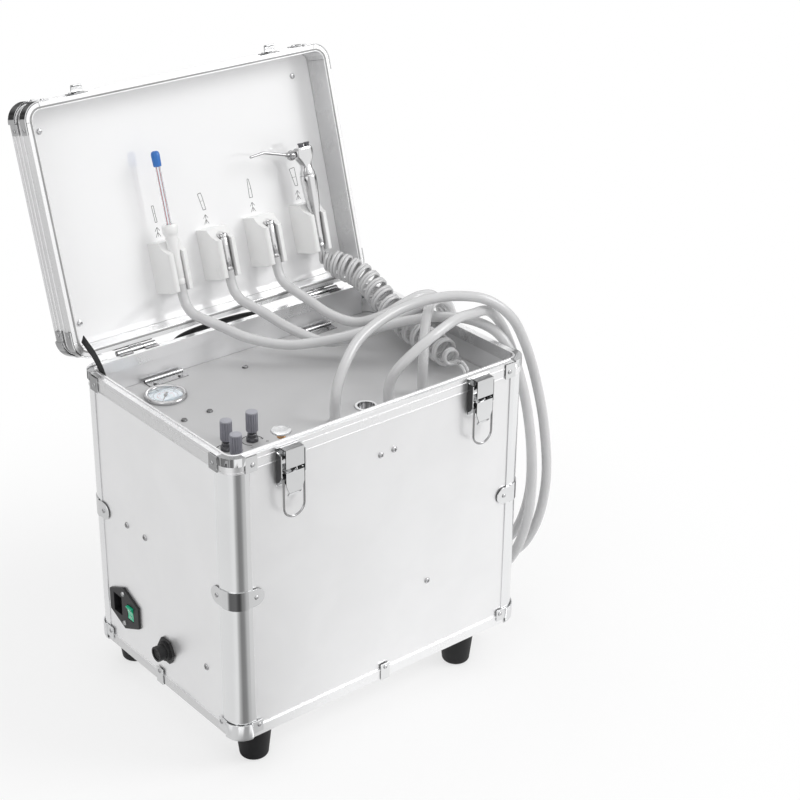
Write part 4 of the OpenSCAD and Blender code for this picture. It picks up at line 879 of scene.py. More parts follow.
# For each hose: the number of its holder, the number of its deck collar, and its route.
HOSE_ROUTES = {
    "hose_suction": (0, 2, [
        (-53, 166, 384), (-51, 155, 376), (-45, 140, 372), (-33, 122, 366), (-12, 98, 354),
        (24, 68, 346), (66, 42, 350), (106, 16, 361), (142, -8, 371), (172, -36, 378),
        (198, -66, 376), (218, -93, 358), (228, -116, 312), (232, -132, 250),
        (232, -140, 185), (232, -134, 120), (232, -110, 60), (232, -66, 12),
        (232, -10, -6), (232, 46, 12), (232, 84, 56), (232, 98, 120), (232, 90, 190),
        (232, 66, 250), (231, 34, 300), (224, 6, 346), (207, -8, 374), (184, -18, 391),
        (160, -31, 396), (137, -50, 392), (118, -69, 381), (106, -82, 366),
        (101, -87, 350)]),
    "hose_left": (1, 1, [
        (16, 166, 384), (18, 155, 376), (22, 140, 372), (31, 120, 365), (46, 93, 352),
        (72, 58, 340), (104, 31, 349), (138, 14, 364), (170, 10, 373), (200, 14, 373),
        (225, 20, 358), (243, 30, 324), (248, 38, 276), (248, 58, 220), (248, 72, 160),
        (248, 66, 100), (248, 40, 52), (248, -10, 30), (248, -60, 46), (248, -100, 90),
        (248, -120, 150), (248, -120, 210), (247, -108, 270), (240, -92, 326),
        (231, -78, 365), (210, -76, 389), (178, -84, 397), (148, -92, 402),
        (118, -100, 400), (90, -103, 392), (68, -100, 378), (54, -94, 362),
        (49, -91, 348)]),
    "hose_right": (2, 0, [
        (85, 166, 384), (87, 155, 376), (90, 140, 372), (96, 120, 365), (106, 94, 354),
        (121, 64, 350), (142, 41, 360), (168, 29, 374), (194, 28, 378), (220, 32, 368),
        (240, 42, 336), (252, 56, 286), (258, 76, 226), (262, 90, 160), (264, 80, 94),
        (264, 40, 40), (264, -24, 20), (264, -82, 44), (264, -118, 100),
        (264, -132, 170), (262, -126, 240), (256, -114, 300), (244, -104, 350),
        (227, -96, 385), (201, -82, 408), (168, -66, 416), (134, -54, 416),
        (98, -50, 413), (62, -53, 407), (28, -60, 397), (2, -71, 382), (-16, -80, 364),
        (-23, -84, 348)]),
}
HOSE_STEPS = 6


def hose_path(holder, exit_at, route):
    """Centreline of a hose from its holder, along its route and into its deck collar."""
    start = [lid_point(HOLDER_X[holder], HOLDER_U + CONNECTOR_FOOT, TOOL_OUT),
             lid_point(HOLDER_X[holder], HOLDER_U + CONNECTOR_FOOT - HOSE_D - 0.5, TOOL_OUT)]
    x, y = HOSE_EXITS[exit_at]
    end = [Vector((x, y, DECK_Z + COLLAR_H + HOSE_D + 2)), Vector((x, y, DECK_Z + COLLAR_H))]
    middle = smooth_path([start[1], *route, end[0]], HOSE_STEPS)
    ease = [start[0].lerp(start[1], k / 3) for k in range(3)]
    return ease + middle + [end[0].lerp(end[1], (k + 1) / 3) for k in range(3)]


def declare_hose(obj, node):
    """Bakes a hose's placement into its mesh and hides the CAD node it stands for."""
    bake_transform(obj)
    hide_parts(node)


class UNIT_OT_hoses(Operator):
    """Builds the suction hose and the two handpiece hoses"""
    bl_idname = "unit.hoses"
    bl_label = "Hoses"

    def execute(self, context):
        s = context.scene.unit_hoses
        for node, (holder, exit_at, route) in HOSE_ROUTES.items():
            path = hose_path(holder, exit_at, route)
            shell = Shell().sweep(path, circle(s.diameter / MM / 2, s.sides))
            obj = shell.make(node + "_tube", slot_finish("hose_rubber"))
            declare_hose(obj, node)
        return {"FINISHED"}


CURL_AXIS = [(157, 170, 388), (164, 156, 385), (170, 140, 382), (175, 122, 378),
             (176, 103, 372), (175, 84, 365), (174, 64, 356), (173, 42, 348),
             (172, 20, 343), (171, -4, 340), (169, -28, 340), (164, -52, 340),
             (156, -74, 341)]
CURL_R, CURL_TURNS, CURL_RINGS, CURL_START = 15, 17, 24, 200


def along(points, s):
    """The point at a share of the way along the curve through the points."""
    x = s * (len(points) - 1)
    i = min(int(x), len(points) - 2)
    return curve_point([Vector(q) for q in points], i, x - i)


def axis_tangent(points, s):
    """Direction of the curve through the points, at a share of its way."""
    return (along(points, min(s + 0.01, 1)) - along(points, max(s - 0.01, 0))).normalized()


def helix_point(s):
    """The point at a share of the coil, whose turns are smaller at both ends."""
    t = axis_tangent(CURL_AXIS, s)
    a = (Vector((0, 0, 1)) - t * t.z).normalized()
    turn = math.radians(360 * CURL_TURNS * s + CURL_START)
    grow = 0.35 + 0.65 * min(1, 12 * s, 12 * (1 - s))
    return along(CURL_AXIS, s) + CURL_R * grow * (math.cos(turn) * a
                                                  + math.sin(turn) * t.cross(a))


def curl_path():
    """Centreline of the twin tube, and the side vector that the two tubes lie along."""
    start = lid_point(HOLDER_X[3], HOLDER_U + CONNECTOR_FOOT - 2, TOOL_OUT)
    top = Vector((*CURL_EXIT, DECK_Z + COLLAR_H))
    count = CURL_TURNS * CURL_RINGS
    coil = [helix_point(i / count) for i in range(count + 1)]
    first = start - 2 * CURL_TUBE_D * LID_UP
    last = top + Vector((0, 0, 2 * CURL_TUBE_D))
    into = [start, start.lerp(first, 0.5), first] + bridge(
        first, -LID_UP, coil[0], (coil[1] - coil[0]).normalized(), 10)
    out = bridge(coil[-1], (coil[-1] - coil[-2]).normalized(), last, Vector((0, 0, -1)), 10)
    out += [last, last.lerp(top, 0.5)]
    path = into + coil + out + [top]
    sides = []
    ahead = len(into)
    for i in range(len(path)):
        s = min(max((i - ahead) / count, 0), 1)
        t = tangent(path, i)
        axis = axis_tangent(CURL_AXIS, s)
        blend = min(1, i / ahead, (len(path) - 1 - i) / ahead)
        side = Vector((1, 0, 0)).lerp(axis, blend * blend * (3 - 2 * blend))
        a = (side - t * side.dot(t)).normalized()
        sides.append((a, t.cross(a)))
    return path, sides


class UNIT_OT_curly_hose(Operator):
    """Builds the curly twin hose of the three-way syringe"""
    bl_idname = "unit.curly_hose"
    bl_label = "Curly hose"

    def execute(self, context):
        s = context.scene.unit_hoses
        r = s.curl_diameter / MM / 2
        path, sides = curl_path()
        shell = Shell()
        for shift in BOTH:
            line = [p + a * r * shift for p, (a, b) in zip(path, sides)]
            shell.sweep(line, circle(r, 12), sides)
        obj = shell.make("curly_hose_tubes", slot_finish("hose_rubber"))
        declare_hose(obj, "curly_hose")
        return {"FINISHED"}


# ---- Fasteners ----

RIM_OUT, STRAP_OUT, SCREW_H = 1.65, 1.15, 2.0
FRONT_SCREWS = [(-7, 298), (12, 299), (64, 108)]
LEFT_SCREWS = [(68, 184), (30, 185), (-87, 72)]
LID_SCREWS = [(-179, 258), (-179, 34), (176, 258), (176, 34)]


def add_screw(shell, matrix, r):
    """Pan head with a rounded edge, a washer face and a cut cross."""
    def ring(radius, z):
        return [(x, y, z) for x, y in circle(radius, 24)]

    def cross(scale, z):
        w, arm = 0.14 * r * scale, 0.5 * r * scale
        quarter = [(arm, 0), (arm, w), ((arm + w) / 2, w), (w, w), (w, (arm + w) / 2), (w, arm)]
        made = []
        for k in range(4):
            c, s = math.cos(k * math.pi / 2), math.sin(k * math.pi / 2)
            made += [(x * c - y * s, x * s + y * c, z) for x, y in quarter]
        return made

    shell.loft([ring(r, 0), ring(r, 0.5), ring(0.86 * r, 0.7), ring(0.84 * r, 0.6 * SCREW_H),
                ring(0.76 * r, 0.82 * SCREW_H), ring(0.62 * r, 0.95 * SCREW_H),
                cross(1.0, SCREW_H), cross(0.8, SCREW_H - 1.0)], matrix)


def add_rivet(shell, matrix, r=2.8, h=1.4):
    """Domed rivet head with a small dimple."""
    shell.lathe([(0, 0), (r, 0), (r, 0.2 * h), (0.94 * r, 0.48 * h), (0.76 * r, 0.8 * h),
                 (0.56 * r, 0.96 * h), (0.42 * r, h), (0.34 * r, 0.6 * h), (0, 0.5 * h)],
                20, matrix)


def corner_places(rows):
    """Places on the two faces of each corner: how far in, how far out and how high."""
    places = []
    for sx, sy in CORNERS:
        for inward, outward, z in rows:
            places.append(((sx * (POST_X - inward), sy * (HALF_D + outward), z), (0, sy, 0)))
            places.append(((sx * (HALF_W + outward), sy * (POST_Y - inward), z), (sx, 0, 0)))
    return places


def case_rivet_places():
    """Places of the case's rivets: its corner caps, straps and bottom rim."""
    places = corner_places(((9, RIM_OUT, CASE_H - 11), (9, RIM_OUT, 15.5),
                            (10, STRAP_OUT, STRAP_Z)))
    for s in BOTH:
        places.append(((0, s * (HALF_D + RIM_OUT), 15), (0, s, 0)))
        places.append(((s * (HALF_W + RIM_OUT), 10, 15), (s, 0, 0)))
    return places


class UNIT_OT_case_fasteners(Operator):
    """Builds the rivets and the cross-head screws of the case"""
    bl_idname = "unit.case_fasteners"
    bl_label = "Case fasteners"

    def execute(self, context):
        shell = Shell()
        for at, way in case_rivet_places():
            add_rivet(shell, facing(at, way))
        for k, (x, z) in enumerate(FRONT_SCREWS):
            turn = Matrix.Rotation(0.5 + 1.1 * k, 4, "Z")
            add_screw(shell, facing((x, PANEL_IN - HALF_D, z), (0, -1, 0)) @ turn, 4)
        for k, (y, z) in enumerate(LEFT_SCREWS):
            turn = Matrix.Rotation(0.2 + 0.9 * k, 4, "Z")
            add_screw(shell, facing((PANEL_IN - HALF_W, y, z), (-1, 0, 0)) @ turn, 4)
        shell.stand_in("case_fasteners_set", "fastener", "case", "case_fasteners", 32)
        return {"FINISHED"}


def rounded_outline(w, h, r, steps=5):
    """Corner-rounded rectangle about the origin."""
    made = []
    for k, (sx, sy) in enumerate(((1, 1), (-1, 1), (-1, -1), (1, -1))):
        for j in range(steps + 1):
            a = math.pi / 2 * (k + j / steps)
            made.append((sx * (w / 2 - r) + r * math.cos(a), sy * (h / 2 - r) + r * math.sin(a)))
    return made


# Side view of a latch keeper: how far it stands out of the lid's front, and its height.
KEEPER_HOOK = [(0, 0.6), (-4, 0.4), (-8.4, -0.6), (-9.3, -1.6), (-9.5, -3), (-9.3, -6.6),
               (-8.6, -7.2), (-8, -6.6), (-8.1, -3.4), (-7.2, -2.3), (-4, -1.4), (0, -1.2)]


class UNIT_OT_lid_fittings(Operator):
    """Builds the lid's latch keepers, its rivets and the screws of its inner panel"""
    bl_idname = "unit.lid_fittings"
    bl_label = "Lid fittings"

    def execute(self, context):
        swing = lid_swing()
        plates, heads = Shell(), Shell()
        for s in BOTH:
            face = facing((s * HINGE_X, -HALF_D - 0.02, LID_Z + 15), (0, -1, 0))
            plates.prism(rounded_outline(20, 22, 3), 0, 1.2, swing @ face)
            plates.prism(rounded_outline(12, 5, 2.2), 1.1, 2.0,
                         swing @ face @ Matrix.Translation((0, -7.2, 0)))
            side = side_on((s * HINGE_X, -HALF_D - 1.2, LID_Z + 14))
            plates.prism(KEEPER_HOOK, -7, 7, swing @ side)
            for e in BOTH:
                at = facing((s * HINGE_X + 5 * e, -HALF_D - 1.2, LID_Z + 20), (0, -1, 0))
                add_rivet(heads, swing @ at, 2.4, 1.2)
        for k, (x, u) in enumerate(LID_SCREWS):
            at = lid_frame() @ Matrix.Translation((x, u, 0)) @ Matrix.Rotation(0.7 * k, 4, "Z")
            add_screw(heads, at, 3.6)
        for at, way in corner_places([(8, RIM_OUT, LID_Z + z) for z in (7, LID_T - 11)]):
            add_rivet(heads, swing @ facing(at, way), 2.4)
        plates.stand_in("keepers", "chromed_sheet", "lid", "lid_fittings", 30, round_mm=0.35)
        heads.make("lid_fasteners", slot_finish("fastener"), "lid", 32)
        return {"FINISHED"}


# ---- Instruments ----


class UNIT_OT_holders(Operator):
    """Builds the four moulded instrument holders with scooped tops and open slots"""
    bl_idname = "unit.holders"
    bl_label = "Instrument holders"

    def execute(self, context):
        for i, x in enumerate(HOLDER_X):
            shell = Shell()
            self.add_holder(shell, lid_frame() @ Matrix.Translation((x, HOLDER_U, 0)))
            obj = shell.make("holder_%d" % (i + 1), slot_finish("white_plastic"), "lid", 35,
                             1.1, 3)
            if i == 0:
                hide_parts("instrument_holders")
        return {"FINISHED"}

    def add_holder(self, shell, matrix):
        """Builds a holder from strips across it, each strip at one depth from the panel."""
        depth, bore, back, front, bend, scoop = HOLDER_OUT, 6.6, 18.4, 12.6, 3.5, 26
        steps = [0, 4, 8, 12, 15, 17, 18.6, 19.6, 20.6, TOOL_OUT - bore]
        steps += [TOOL_OUT - bore * math.cos(math.radians(a)) for a in range(12, 91, 13)]
        steps += [29.5, 31, 32.5, 33, 33.9, 34.8, 35.5, 35.9, depth]

        def half(out):
            w = back + (front - back) * out / depth
            return w if out < depth - bend else w - bend + math.sqrt(
                max(bend ** 2 - (out - depth + bend) ** 2, 0))

        def slot(out):
            if out < TOOL_OUT - bore + 1e-6:
                return 0.0
            return math.sqrt(max(bore ** 2 - max(TOOL_OUT - out, 0) ** 2, 0))

        def top(out):
            reach = scoop ** 2 - (depth + 6 - out) ** 2
            return min(HOLDER_H, HOLDER_H + 12 - math.sqrt(max(reach, 0)))

        def foot(out):
            return 1.6 * max(0.0, (out - 24) / 12) ** 2

        points, faces, n = [], [], len(steps)
        for side in BOTH:
            base = len(points)
            for out in steps:
                for width in (half(out), slot(out)):
                    for up in (foot(out), top(out)):
                        points.append((side * width, up, out))
            for j in range(n - 1):
                a, b = base + 4 * j, base + 4 * (j + 1)
                quads = [(a, a + 1, b + 1, b), (a + 1, a + 3, b + 3, b + 1),
                         (a, b, b + 2, a + 2)]
                if slot(steps[j + 1]) > 0:
                    quads.append((a + 2, b + 2, b + 3, a + 3))
                faces += quads
            first, last = base, base + 4 * (n - 1)
            faces.append((first, first + 2, first + 3, first + 1))
            faces.append((last, last + 1, last + 3, last + 2))
        shell.add(points, faces, matrix)


class UNIT_OT_connectors(Operator):
    """Builds the chromed sleeves that the handpieces push into"""
    bl_idname = "unit.connectors"
    bl_label = "Hose sleeves"

    def execute(self, context):
        shell = Shell()
        for i in (1, 2):
            shell.lathe([(0, 0), (6.0, 0), (6.3, 0.6), (6.3, 3.4), (5.9, 3.9), (5.5, 4.1),
                         (5.5, 5.4), (5.75, 5.9), (5.75, 39.6), (5.5, 40.0), (5.5, 40.9),
                         (6.5, 41.4), (6.5, 44.2), (6.0, 45), (4.7, 45), (4.1, 44.3),
                         (4.1, 26), (0, 26)], 40, tool_axis(i, CONNECTOR_FOOT))
        shell.stand_in("hose_sleeves", "polished_steel", "lid", "hose_connectors")
        return {"FINISHED"}


class UNIT_OT_suction(Operator):
    """Builds the suction handle and the saliva ejector with its wire and blue tip"""
    bl_idname = "unit.suction"
    bl_label = "Suction handle and ejector"

    def execute(self, context):
        axis = tool_axis(0, CONNECTOR_FOOT)
        handle = Shell().lathe(
            [(0, 0), (5.6, 0), (6.1, 0.8), (6.1, 6), (5.8, 6.6), (5.8, 7.6), (6.1, 8.2),
             (6.2, 34), (6.5, 38), (7.2, 44), (7.4, 47), (7.4, 57.5), (7.8, 59.5), (9.0, 61.6),
             (9.5, 63.2), (9.5, 68.6), (9.1, 70.6), (8.1, 71.8), (4.4, 72), (3.6, 71.2),
             (3.6, 60.2), (0, 60.2)], 40, axis)
        handle.stand_in("suction_grip", "white_plastic", "lid", "suction_handle")
        top = axis @ Matrix.Translation((0, 0, 60))
        tube = Shell().lathe([(3.3, 0.4), (3.3, 84), (2.3, 84), (2.3, 0.4)], 32, top, True)
        tube.stand_in("ejector_tube", "clear_tube", "lid", "saliva_ejector")
        wires = Shell()
        for x in (-1.75, 1.75):
            path = [top @ Vector((x, 0, z)) for z in (1, 20, 42, 64, 82)]
            wires.sweep(path, circle(0.42, 8))
        red = finish("red_wire", (0.62, 0.04, 0.05), roughness=(0.3, 0.4), bump=0.0)
        wires.make("ejector_wires", red, "lid")
        rings = []
        for r, z in ((3.0, 80.4), (4.6, 80.8), (4.9, 82), (5.0, 86), (5.2, 91), (5.3, 94),
                     (5.0, 96.2), (4.2, 98), (3.0, 98.8), (1.6, 99)):
            deep = 0.55 if 83 < z < 97 else 0.0
            rings.append(fluted(36, z, lambda k: r - deep * (k % 6 == 0)))
        blue = finish("blue_tip", (0.02, 0.16, 0.52), roughness=(0.25, 0.4), bump=0.01,
                      Coat_Weight=0.3)
        Shell().loft(rings, top).make("ejector_tip", blue, "lid", 40)
        return {"FINISHED"}


def oval(x0, x1, half, z, power, count=36):
    """A ring between a circle and a rounded box."""
    made = []
    for k in range(count):
        c, s = math.cos(math.tau * k / count), math.sin(math.tau * k / count)
        px = math.copysign(abs(c) ** (2 / power), c)
        py = math.copysign(abs(s) ** (2 / power), s)
        made.append(((x0 + x1) / 2 + (x1 - x0) / 2 * px, half * py, z))
    return made


SYRINGE_FOOT = CONNECTOR_FOOT - 2
BUTTON_UP = 120.5


class UNIT_OT_syringe(Operator):
    """Builds the three-way syringe: its body, turning nozzle and two buttons"""
    bl_idname = "unit.syringe"
    bl_label = "Three-way syringe"

    def execute(self, context):
        profile = [(5.0, 0), (5.6, 0.5), (5.6, 3), (5.1, 3.6), (5.1, 4.6), (5.5, 5.2), (5.7, 12),
                   (5.9, 30), (6.6, 42), (8.2, 52), (9.2, 62), (9.8, 72), (10.2, 82),
                   (10.2, 88), (9.8, 89.2), (9.2, 89.6), (9.2, 90.8), (9.6, 91.4)]
        rings = [oval(-r, r, r, z, 2.0) for r, z in profile]
        for x0, x1, half, z, power in (
                (-9.0, 8.8, 8.4, 93.4, 2.1), (-7.2, 7.0, 7.0, 97, 2.3),
                (-6.6, 6.3, 6.2, 101, 2.6),
                (-8.0, 7.2, 5.8, 104, 3.0), (-10.0, 8.6, 5.8, 107, 3.4),
                (-12.2, 9.8, 6.0, 110, 3.6), (-13.6, 10.8, 6.3, 113, 3.8),
                (-14.2, 11.4, 6.4, 117, 3.8), (-13.6, 11.5, 6.4, 121, 3.8),
                (-12.2, 11.0, 6.3, 123.4, 3.6), (-10.4, 9.6, 5.8, 124.6, 3.4),
                (-8.4, 8.0, 5.0, 125, 3.2)):
            rings.append(oval(x0, x1, half, z, power))
        body = Shell().loft(rings, tool_axis(3, SYRINGE_FOOT))
        body.stand_in("syringe_handle", "polished_steel", "lid", "syringe_body", 40)
        self.add_nozzle()
        for name, x in (("syringe_button_water", -3), ("syringe_button_air", 6)):
            at = tool_axis(3, SYRINGE_FOOT + BUTTON_UP)
            at = Matrix.Translation(at.to_3x3() @ Vector((x, 0, 0))) @ at
            knob = Shell().lathe([(0, 0), (3, 0), (3, 7.2), (3.6, 7.4), (3.9, 7.8), (3.9, 8.4),
                                  (3.4, 8.9), (2.4, 8.7), (0, 8.5)], 28, at)
            knob.stand_in(name + "_cap", "dark_metal", name, name)
        return {"FINISHED"}

    def add_nozzle(self):
        """A fluted nut, and a tube that bends near its tip."""
        at = tool_axis(3, 123, turn=74, shift=-14)
        rings = []
        for r, z, deep in ((2.5, -2.6, 0), (2.5, 2.0, 0), (5.6, 2.2, 0.2), (6.2, 3.0, 0.7),
                           (6.2, 7.4, 0.7), (5.6, 8.6, 0.4), (4.2, 9.4, 0), (2.9, 9.6, 0),
                           (2.7, 13.2, 0), (1.9, 14.6, 0)):
            rings.append(fluted(
                48, z, lambda k: r - deep * (1 - math.cos(math.tau * k / 4)) / 2))
        shell = Shell().loft(rings, at)
        line = [(0, z) for z in (13, 20, 28, 36, 41)]
        for k in range(1, 7):
            a = math.radians(20 * k / 6)
            line.append((-14 * (1 - math.cos(a)), 43.4 + 14 * math.sin(a)))
        a = math.radians(20)
        line += [(line[-1][0] - d * math.sin(a), line[-1][1] + d * math.cos(a))
                 for d in (6, 12, 18)]
        path = [at @ Vector((x, 0, z)) for x, z in line]
        path += [path[-1], path[-2], path[-3]]
        radii = [1.75] * 5 + [1.7] * 6 + [1.6, 1.5, 1.4, 0.75, 0.75, 0.75]
        frames = carried(path[:14])
        frames += [frames[-1]] * 3
        shell.sweep(path, [circle(r, 16) for r in radii], frames)
        # A darker grey than the polished steel: the nozzle's dark reflections are painted into its
        # colour.
        steel = finish("nozzle_steel_painted_dark", (0.42, 0.42, 0.425), 1.0, (0.12, 0.22), bump=0.0)
        shell.stand_in("nozzle_and_nut", "polished_steel", "syringe_nozzle", "syringe_nozzle",
                       look=steel)


# ---- Deck fittings ----

GAUGE_AT, CHANGEOVER_AT = (-135, 90), (-106, -95)
KNOBS = {"knob_water_left": (-154, -60), "knob_water_right": (-120, -60),
         "knob_air": (-164, -93)}
KNOB_R, KNOB_RIBS, KNOB_BASE = 6.85, 15, 10
RIB_SHAPE = (0.0, 0.2, 1.3, 0.2)


def rounded_hexagon(r, a, share):
    """Radius at an angle of a hexagon that is round for the rest of its share."""
    if share == 1:
        return r * 0.93
    flat = r * math.cos(math.pi / 6) / math.cos(a % (math.pi / 3) - math.pi / 6)
    return flat * share + r * 0.93 * (1 - share)


class UNIT_OT_knobs(Operator):
    """Builds the three ribbed valve knobs with smooth caps"""
    bl_idname = "unit.knobs"
    bl_label = "Valve knobs"

    def execute(self, context):
        r, nuts = KNOB_R, Shell()

        def ring(radius, z, deep):
            return fluted(KNOB_RIBS * 4, z, lambda k: radius - deep * RIB_SHAPE[k % 4])

        for name, (x, y) in KNOBS.items():
            at = Matrix.Translation((x, y, DECK_Z + KNOB_BASE))
            grip = Shell().loft([ring(r - 1.2, 2, 0), ring(r - 0.5, 2.2, 0.2),
                                 ring(r, 3.0, 1.0), ring(r, 23.4, 1.0),
                                 ring(r - 0.1, 23.9, 0.7), ring(r - 0.9, 24.2, 0),
                                 ring(r - 0.9, 25, 0)], at)
            grip.stand_in(name + "_grip", "knob_plastic", name, name)
            self.add_nut(nuts, x, y)
            cap = Shell().lathe([(0, 24.3), (r - 0.6, 24.3), (r - 0.2, 24.5), (r - 0.2, 25.2),
                                 (r - 0.4, 25.7), (r - 0.9, 25.9), (0, 25.9)], 44, at)
            smooth = finish("knob_cap", (0.36, 0.36, 0.40), roughness=(0.3, 0.42), bump=0.01,
                            tint=0.04)
            cap.make(name + "_cap", smooth, name, 34)
        nuts.stand_in("valve_nuts", "dark_metal", "case", "valve_stems", 30)
        return {"FINISHED"}

    def add_nut(self, shell, x, y):
        """A flat nut with rounded corners, its ring, the spindle and the body under it."""
        at = Matrix.Translation((x, y, DECK_Z))
        rings = []
        for r, z, share in ((6.5, 0.02, 1.0), (7.6, 0.3, 0.7), (7.6, 3.2, 0.7), (7.0, 3.8, 1.0)):
            rings.append(fluted(48, z, lambda k: rounded_hexagon(r, math.tau * k / 48, share)))
        shell.loft(rings, at)
        shell.lathe([(0, 3.7), (6.3, 3.7), (6.5, 4.0), (6.5, 4.7), (6.1, 5.1), (5.3, 5.2),
                     (5.3, 8.8), (4.9, 9.2), (0, 9.2)], 36, at)
        shell.lathe([(0, 0.1), (4.8, 0.1), (4.8, -2.1), (8.6, -2.1), (8.6, -20), (0, -20)][::-1],
                    6, at)
        shell.lathe([(0, 9.1), (2.9, 9.1), (2.9, 19), (0, 19)], 20, at)


class UNIT_OT_changeover(Operator):
    """Builds the mushroom button of the changeover valve on its copper collar"""
    bl_idname = "unit.changeover"
    bl_label = "Changeover button"

    def execute(self, context):
        at = Matrix.Translation((*CHANGEOVER_AT, DECK_Z))
        cap = Shell().lathe([(0, 17.6), (4.4, 17.6), (5.2, 18.2), (10.6, 20.4), (11.5, 21.1),
                             (11.5, 22.4), (11.0, 23.2), (9.0, 23.8), (5, 24.05), (0, 24.1)],
                            56, at)
        cap.lathe([(0, -11), (2.9, -11), (2.9, 14), (0, 14)], 24, at)
        cap.stand_in("changeover_cap", "button_aluminium", "changeover_button",
                     "changeover_button")
        collar = Shell().lathe([(0, 14.1), (4.6, 14.1), (4.9, 14.5), (4.9, 16.0), (4.4, 16.6),
                                (4.4, 17.5), (0, 17.5)], 32, at)
        collar.make("changeover_collar", slot_finish("copper_alloy"), "changeover_button", 34)
        return {"FINISHED"}


class UNIT_OT_gauge(Operator):
    """Builds the rounded bezel of the pressure gauge and the can under the deck"""
    bl_idname = "unit.gauge"
    bl_label = "Gauge bezel"

    def execute(self, context):
        at = Matrix.Translation((*GAUGE_AT, DECK_Z))
        shell = Shell().lathe([
            (19.9, 0.1), (19.9, 3.4), (20.3, 3.9), (20.9, 4.2), (21.6, 4.5), (22.6, 4.6),
            (23.6, 4.3), (24.4, 3.6), (24.9, 2.6), (25, 1.4), (25, 0.5), (24.6, 0.02),
            (20.9, 0.02), (20.9, -24), (0, -24), (0, -23), (20.0, -23), (20.0, 0.1)], 72, at)
        steel = finish("bezel_steel", (0.5, 0.5, 0.505), 1.0, (0.12, 0.2), bump=0.0, tint=0.04)
        shell.stand_in("gauge_rim", "polished_steel", "case", "gauge_bezel", look=steel)
        return {"FINISHED"}


INK_T = 0.06


def arc_strip(shell, middle, r0, r1, start, end, z, sides=40):
    """A thin band of a circle that lies on a face, angles in degrees."""
    corners = ((r0, z), (r1, z), (r1, z + INK_T), (r0, z + INK_T))
    rings = []
    for k in range(sides + 1):
        turn = start + (end - start) * k / sides
        rings.append([(*polar(middle, r, turn), h) for r, h in corners])
    shell.loft(rings if start > end else rings[::-1])


def bar(shell, a, b, width, z, matrix=None):
    """A thin straight mark from a to b that lies on a face."""
    way = Vector((b[0] - a[0], b[1] - a[1]))
    side = Vector((-way.y, way.x)).normalized() * width / 2
    outline = [(a[0] - side.x, a[1] - side.y), (b[0] - side.x, b[1] - side.y),
               (b[0] + side.x, b[1] + side.y), (a[0] + side.x, a[1] + side.y)]
    shell.prism(outline, z, z + INK_T, matrix)


def add_digits(shell, text, size, matrix):
    """Adds a number as thin raised shapes, centred on the matrix."""
    curve = bpy.data.curves.new("digits", "FONT")
    curve.body, curve.size, curve.extrude = text, size, 0.03
    curve.align_x, curve.align_y = "CENTER", "CENTER"
    curve.resolution_u = 3
    holder = bpy.data.objects.new("digits", curve)
    mesh = holder.to_mesh()
    shell.add([v.co.copy() for v in mesh.vertices], [list(p.vertices) for p in mesh.polygons],
              matrix)
    holder.to_mesh_clear()
    bpy.data.objects.remove(holder)
    bpy.data.curves.remove(curve)


class UNIT_OT_gauge_scale(Operator):
    """Prints the two scales of the pressure gauge on its dial"""
    bl_idname = "unit.gauge_scale"
    bl_label = "Gauge scale"

    def execute(self, context):
        black, red = Shell(), Shell()
        z = DECK_Z + 0.02
        arc_strip(black, GAUGE_AT, 13.9, 14.15, 225, -45, z)
        arc_strip(red, GAUGE_AT, 9.3, 9.5, 225, -45, z)
        for k in range(41):
            long = k % 10 == 0
            self.add_tick(black, 225 - 270 * k / 40, 14.1, 16.6 if long else 15.2,
                          0.4 if long else 0.2, z)
        for k in range(21):
            long = k % 4 == 0
            self.add_tick(red, 225 - 270 * k / 20, 9.4, 11.2 if long else 10.3,
                          0.36 if long else 0.2, z)
        for k, text in enumerate(("0", "30", "60", "90", "120")):
            self.add_number(black, text, 2.6, 225 - 270 * k / 4, 18.0, z)
        for k, text in enumerate(("0", "0.2", "0.4", "0.6", "0.8", "1")):
            self.add_number(red, text, 2.1, 225 - 270 * k / 5, 7.4, z)
        ink = finish("print_black", (0.02, 0.02, 0.022), bump=0.0)
        black.make("gauge_scale_outer", ink, "case")
        red.make("gauge_scale_inner", finish("print_red", (0.5, 0.03, 0.03), bump=0.0), "case")
        return {"FINISHED"}

    def add_tick(self, shell, turn, r0, r1, width, z):
        """A mark of the scale, at an angle in degrees."""
        bar(shell, polar(GAUGE_AT, r0, turn), polar(GAUGE_AT, r1, turn), width, z)

    def add_number(self, shell, text, size, turn, r, z):
        """A number of the scale, at an angle in degrees."""
        at = (*polar(GAUGE_AT, r, turn), z)
        add_digits(shell, text, size, Matrix.Translation(at))


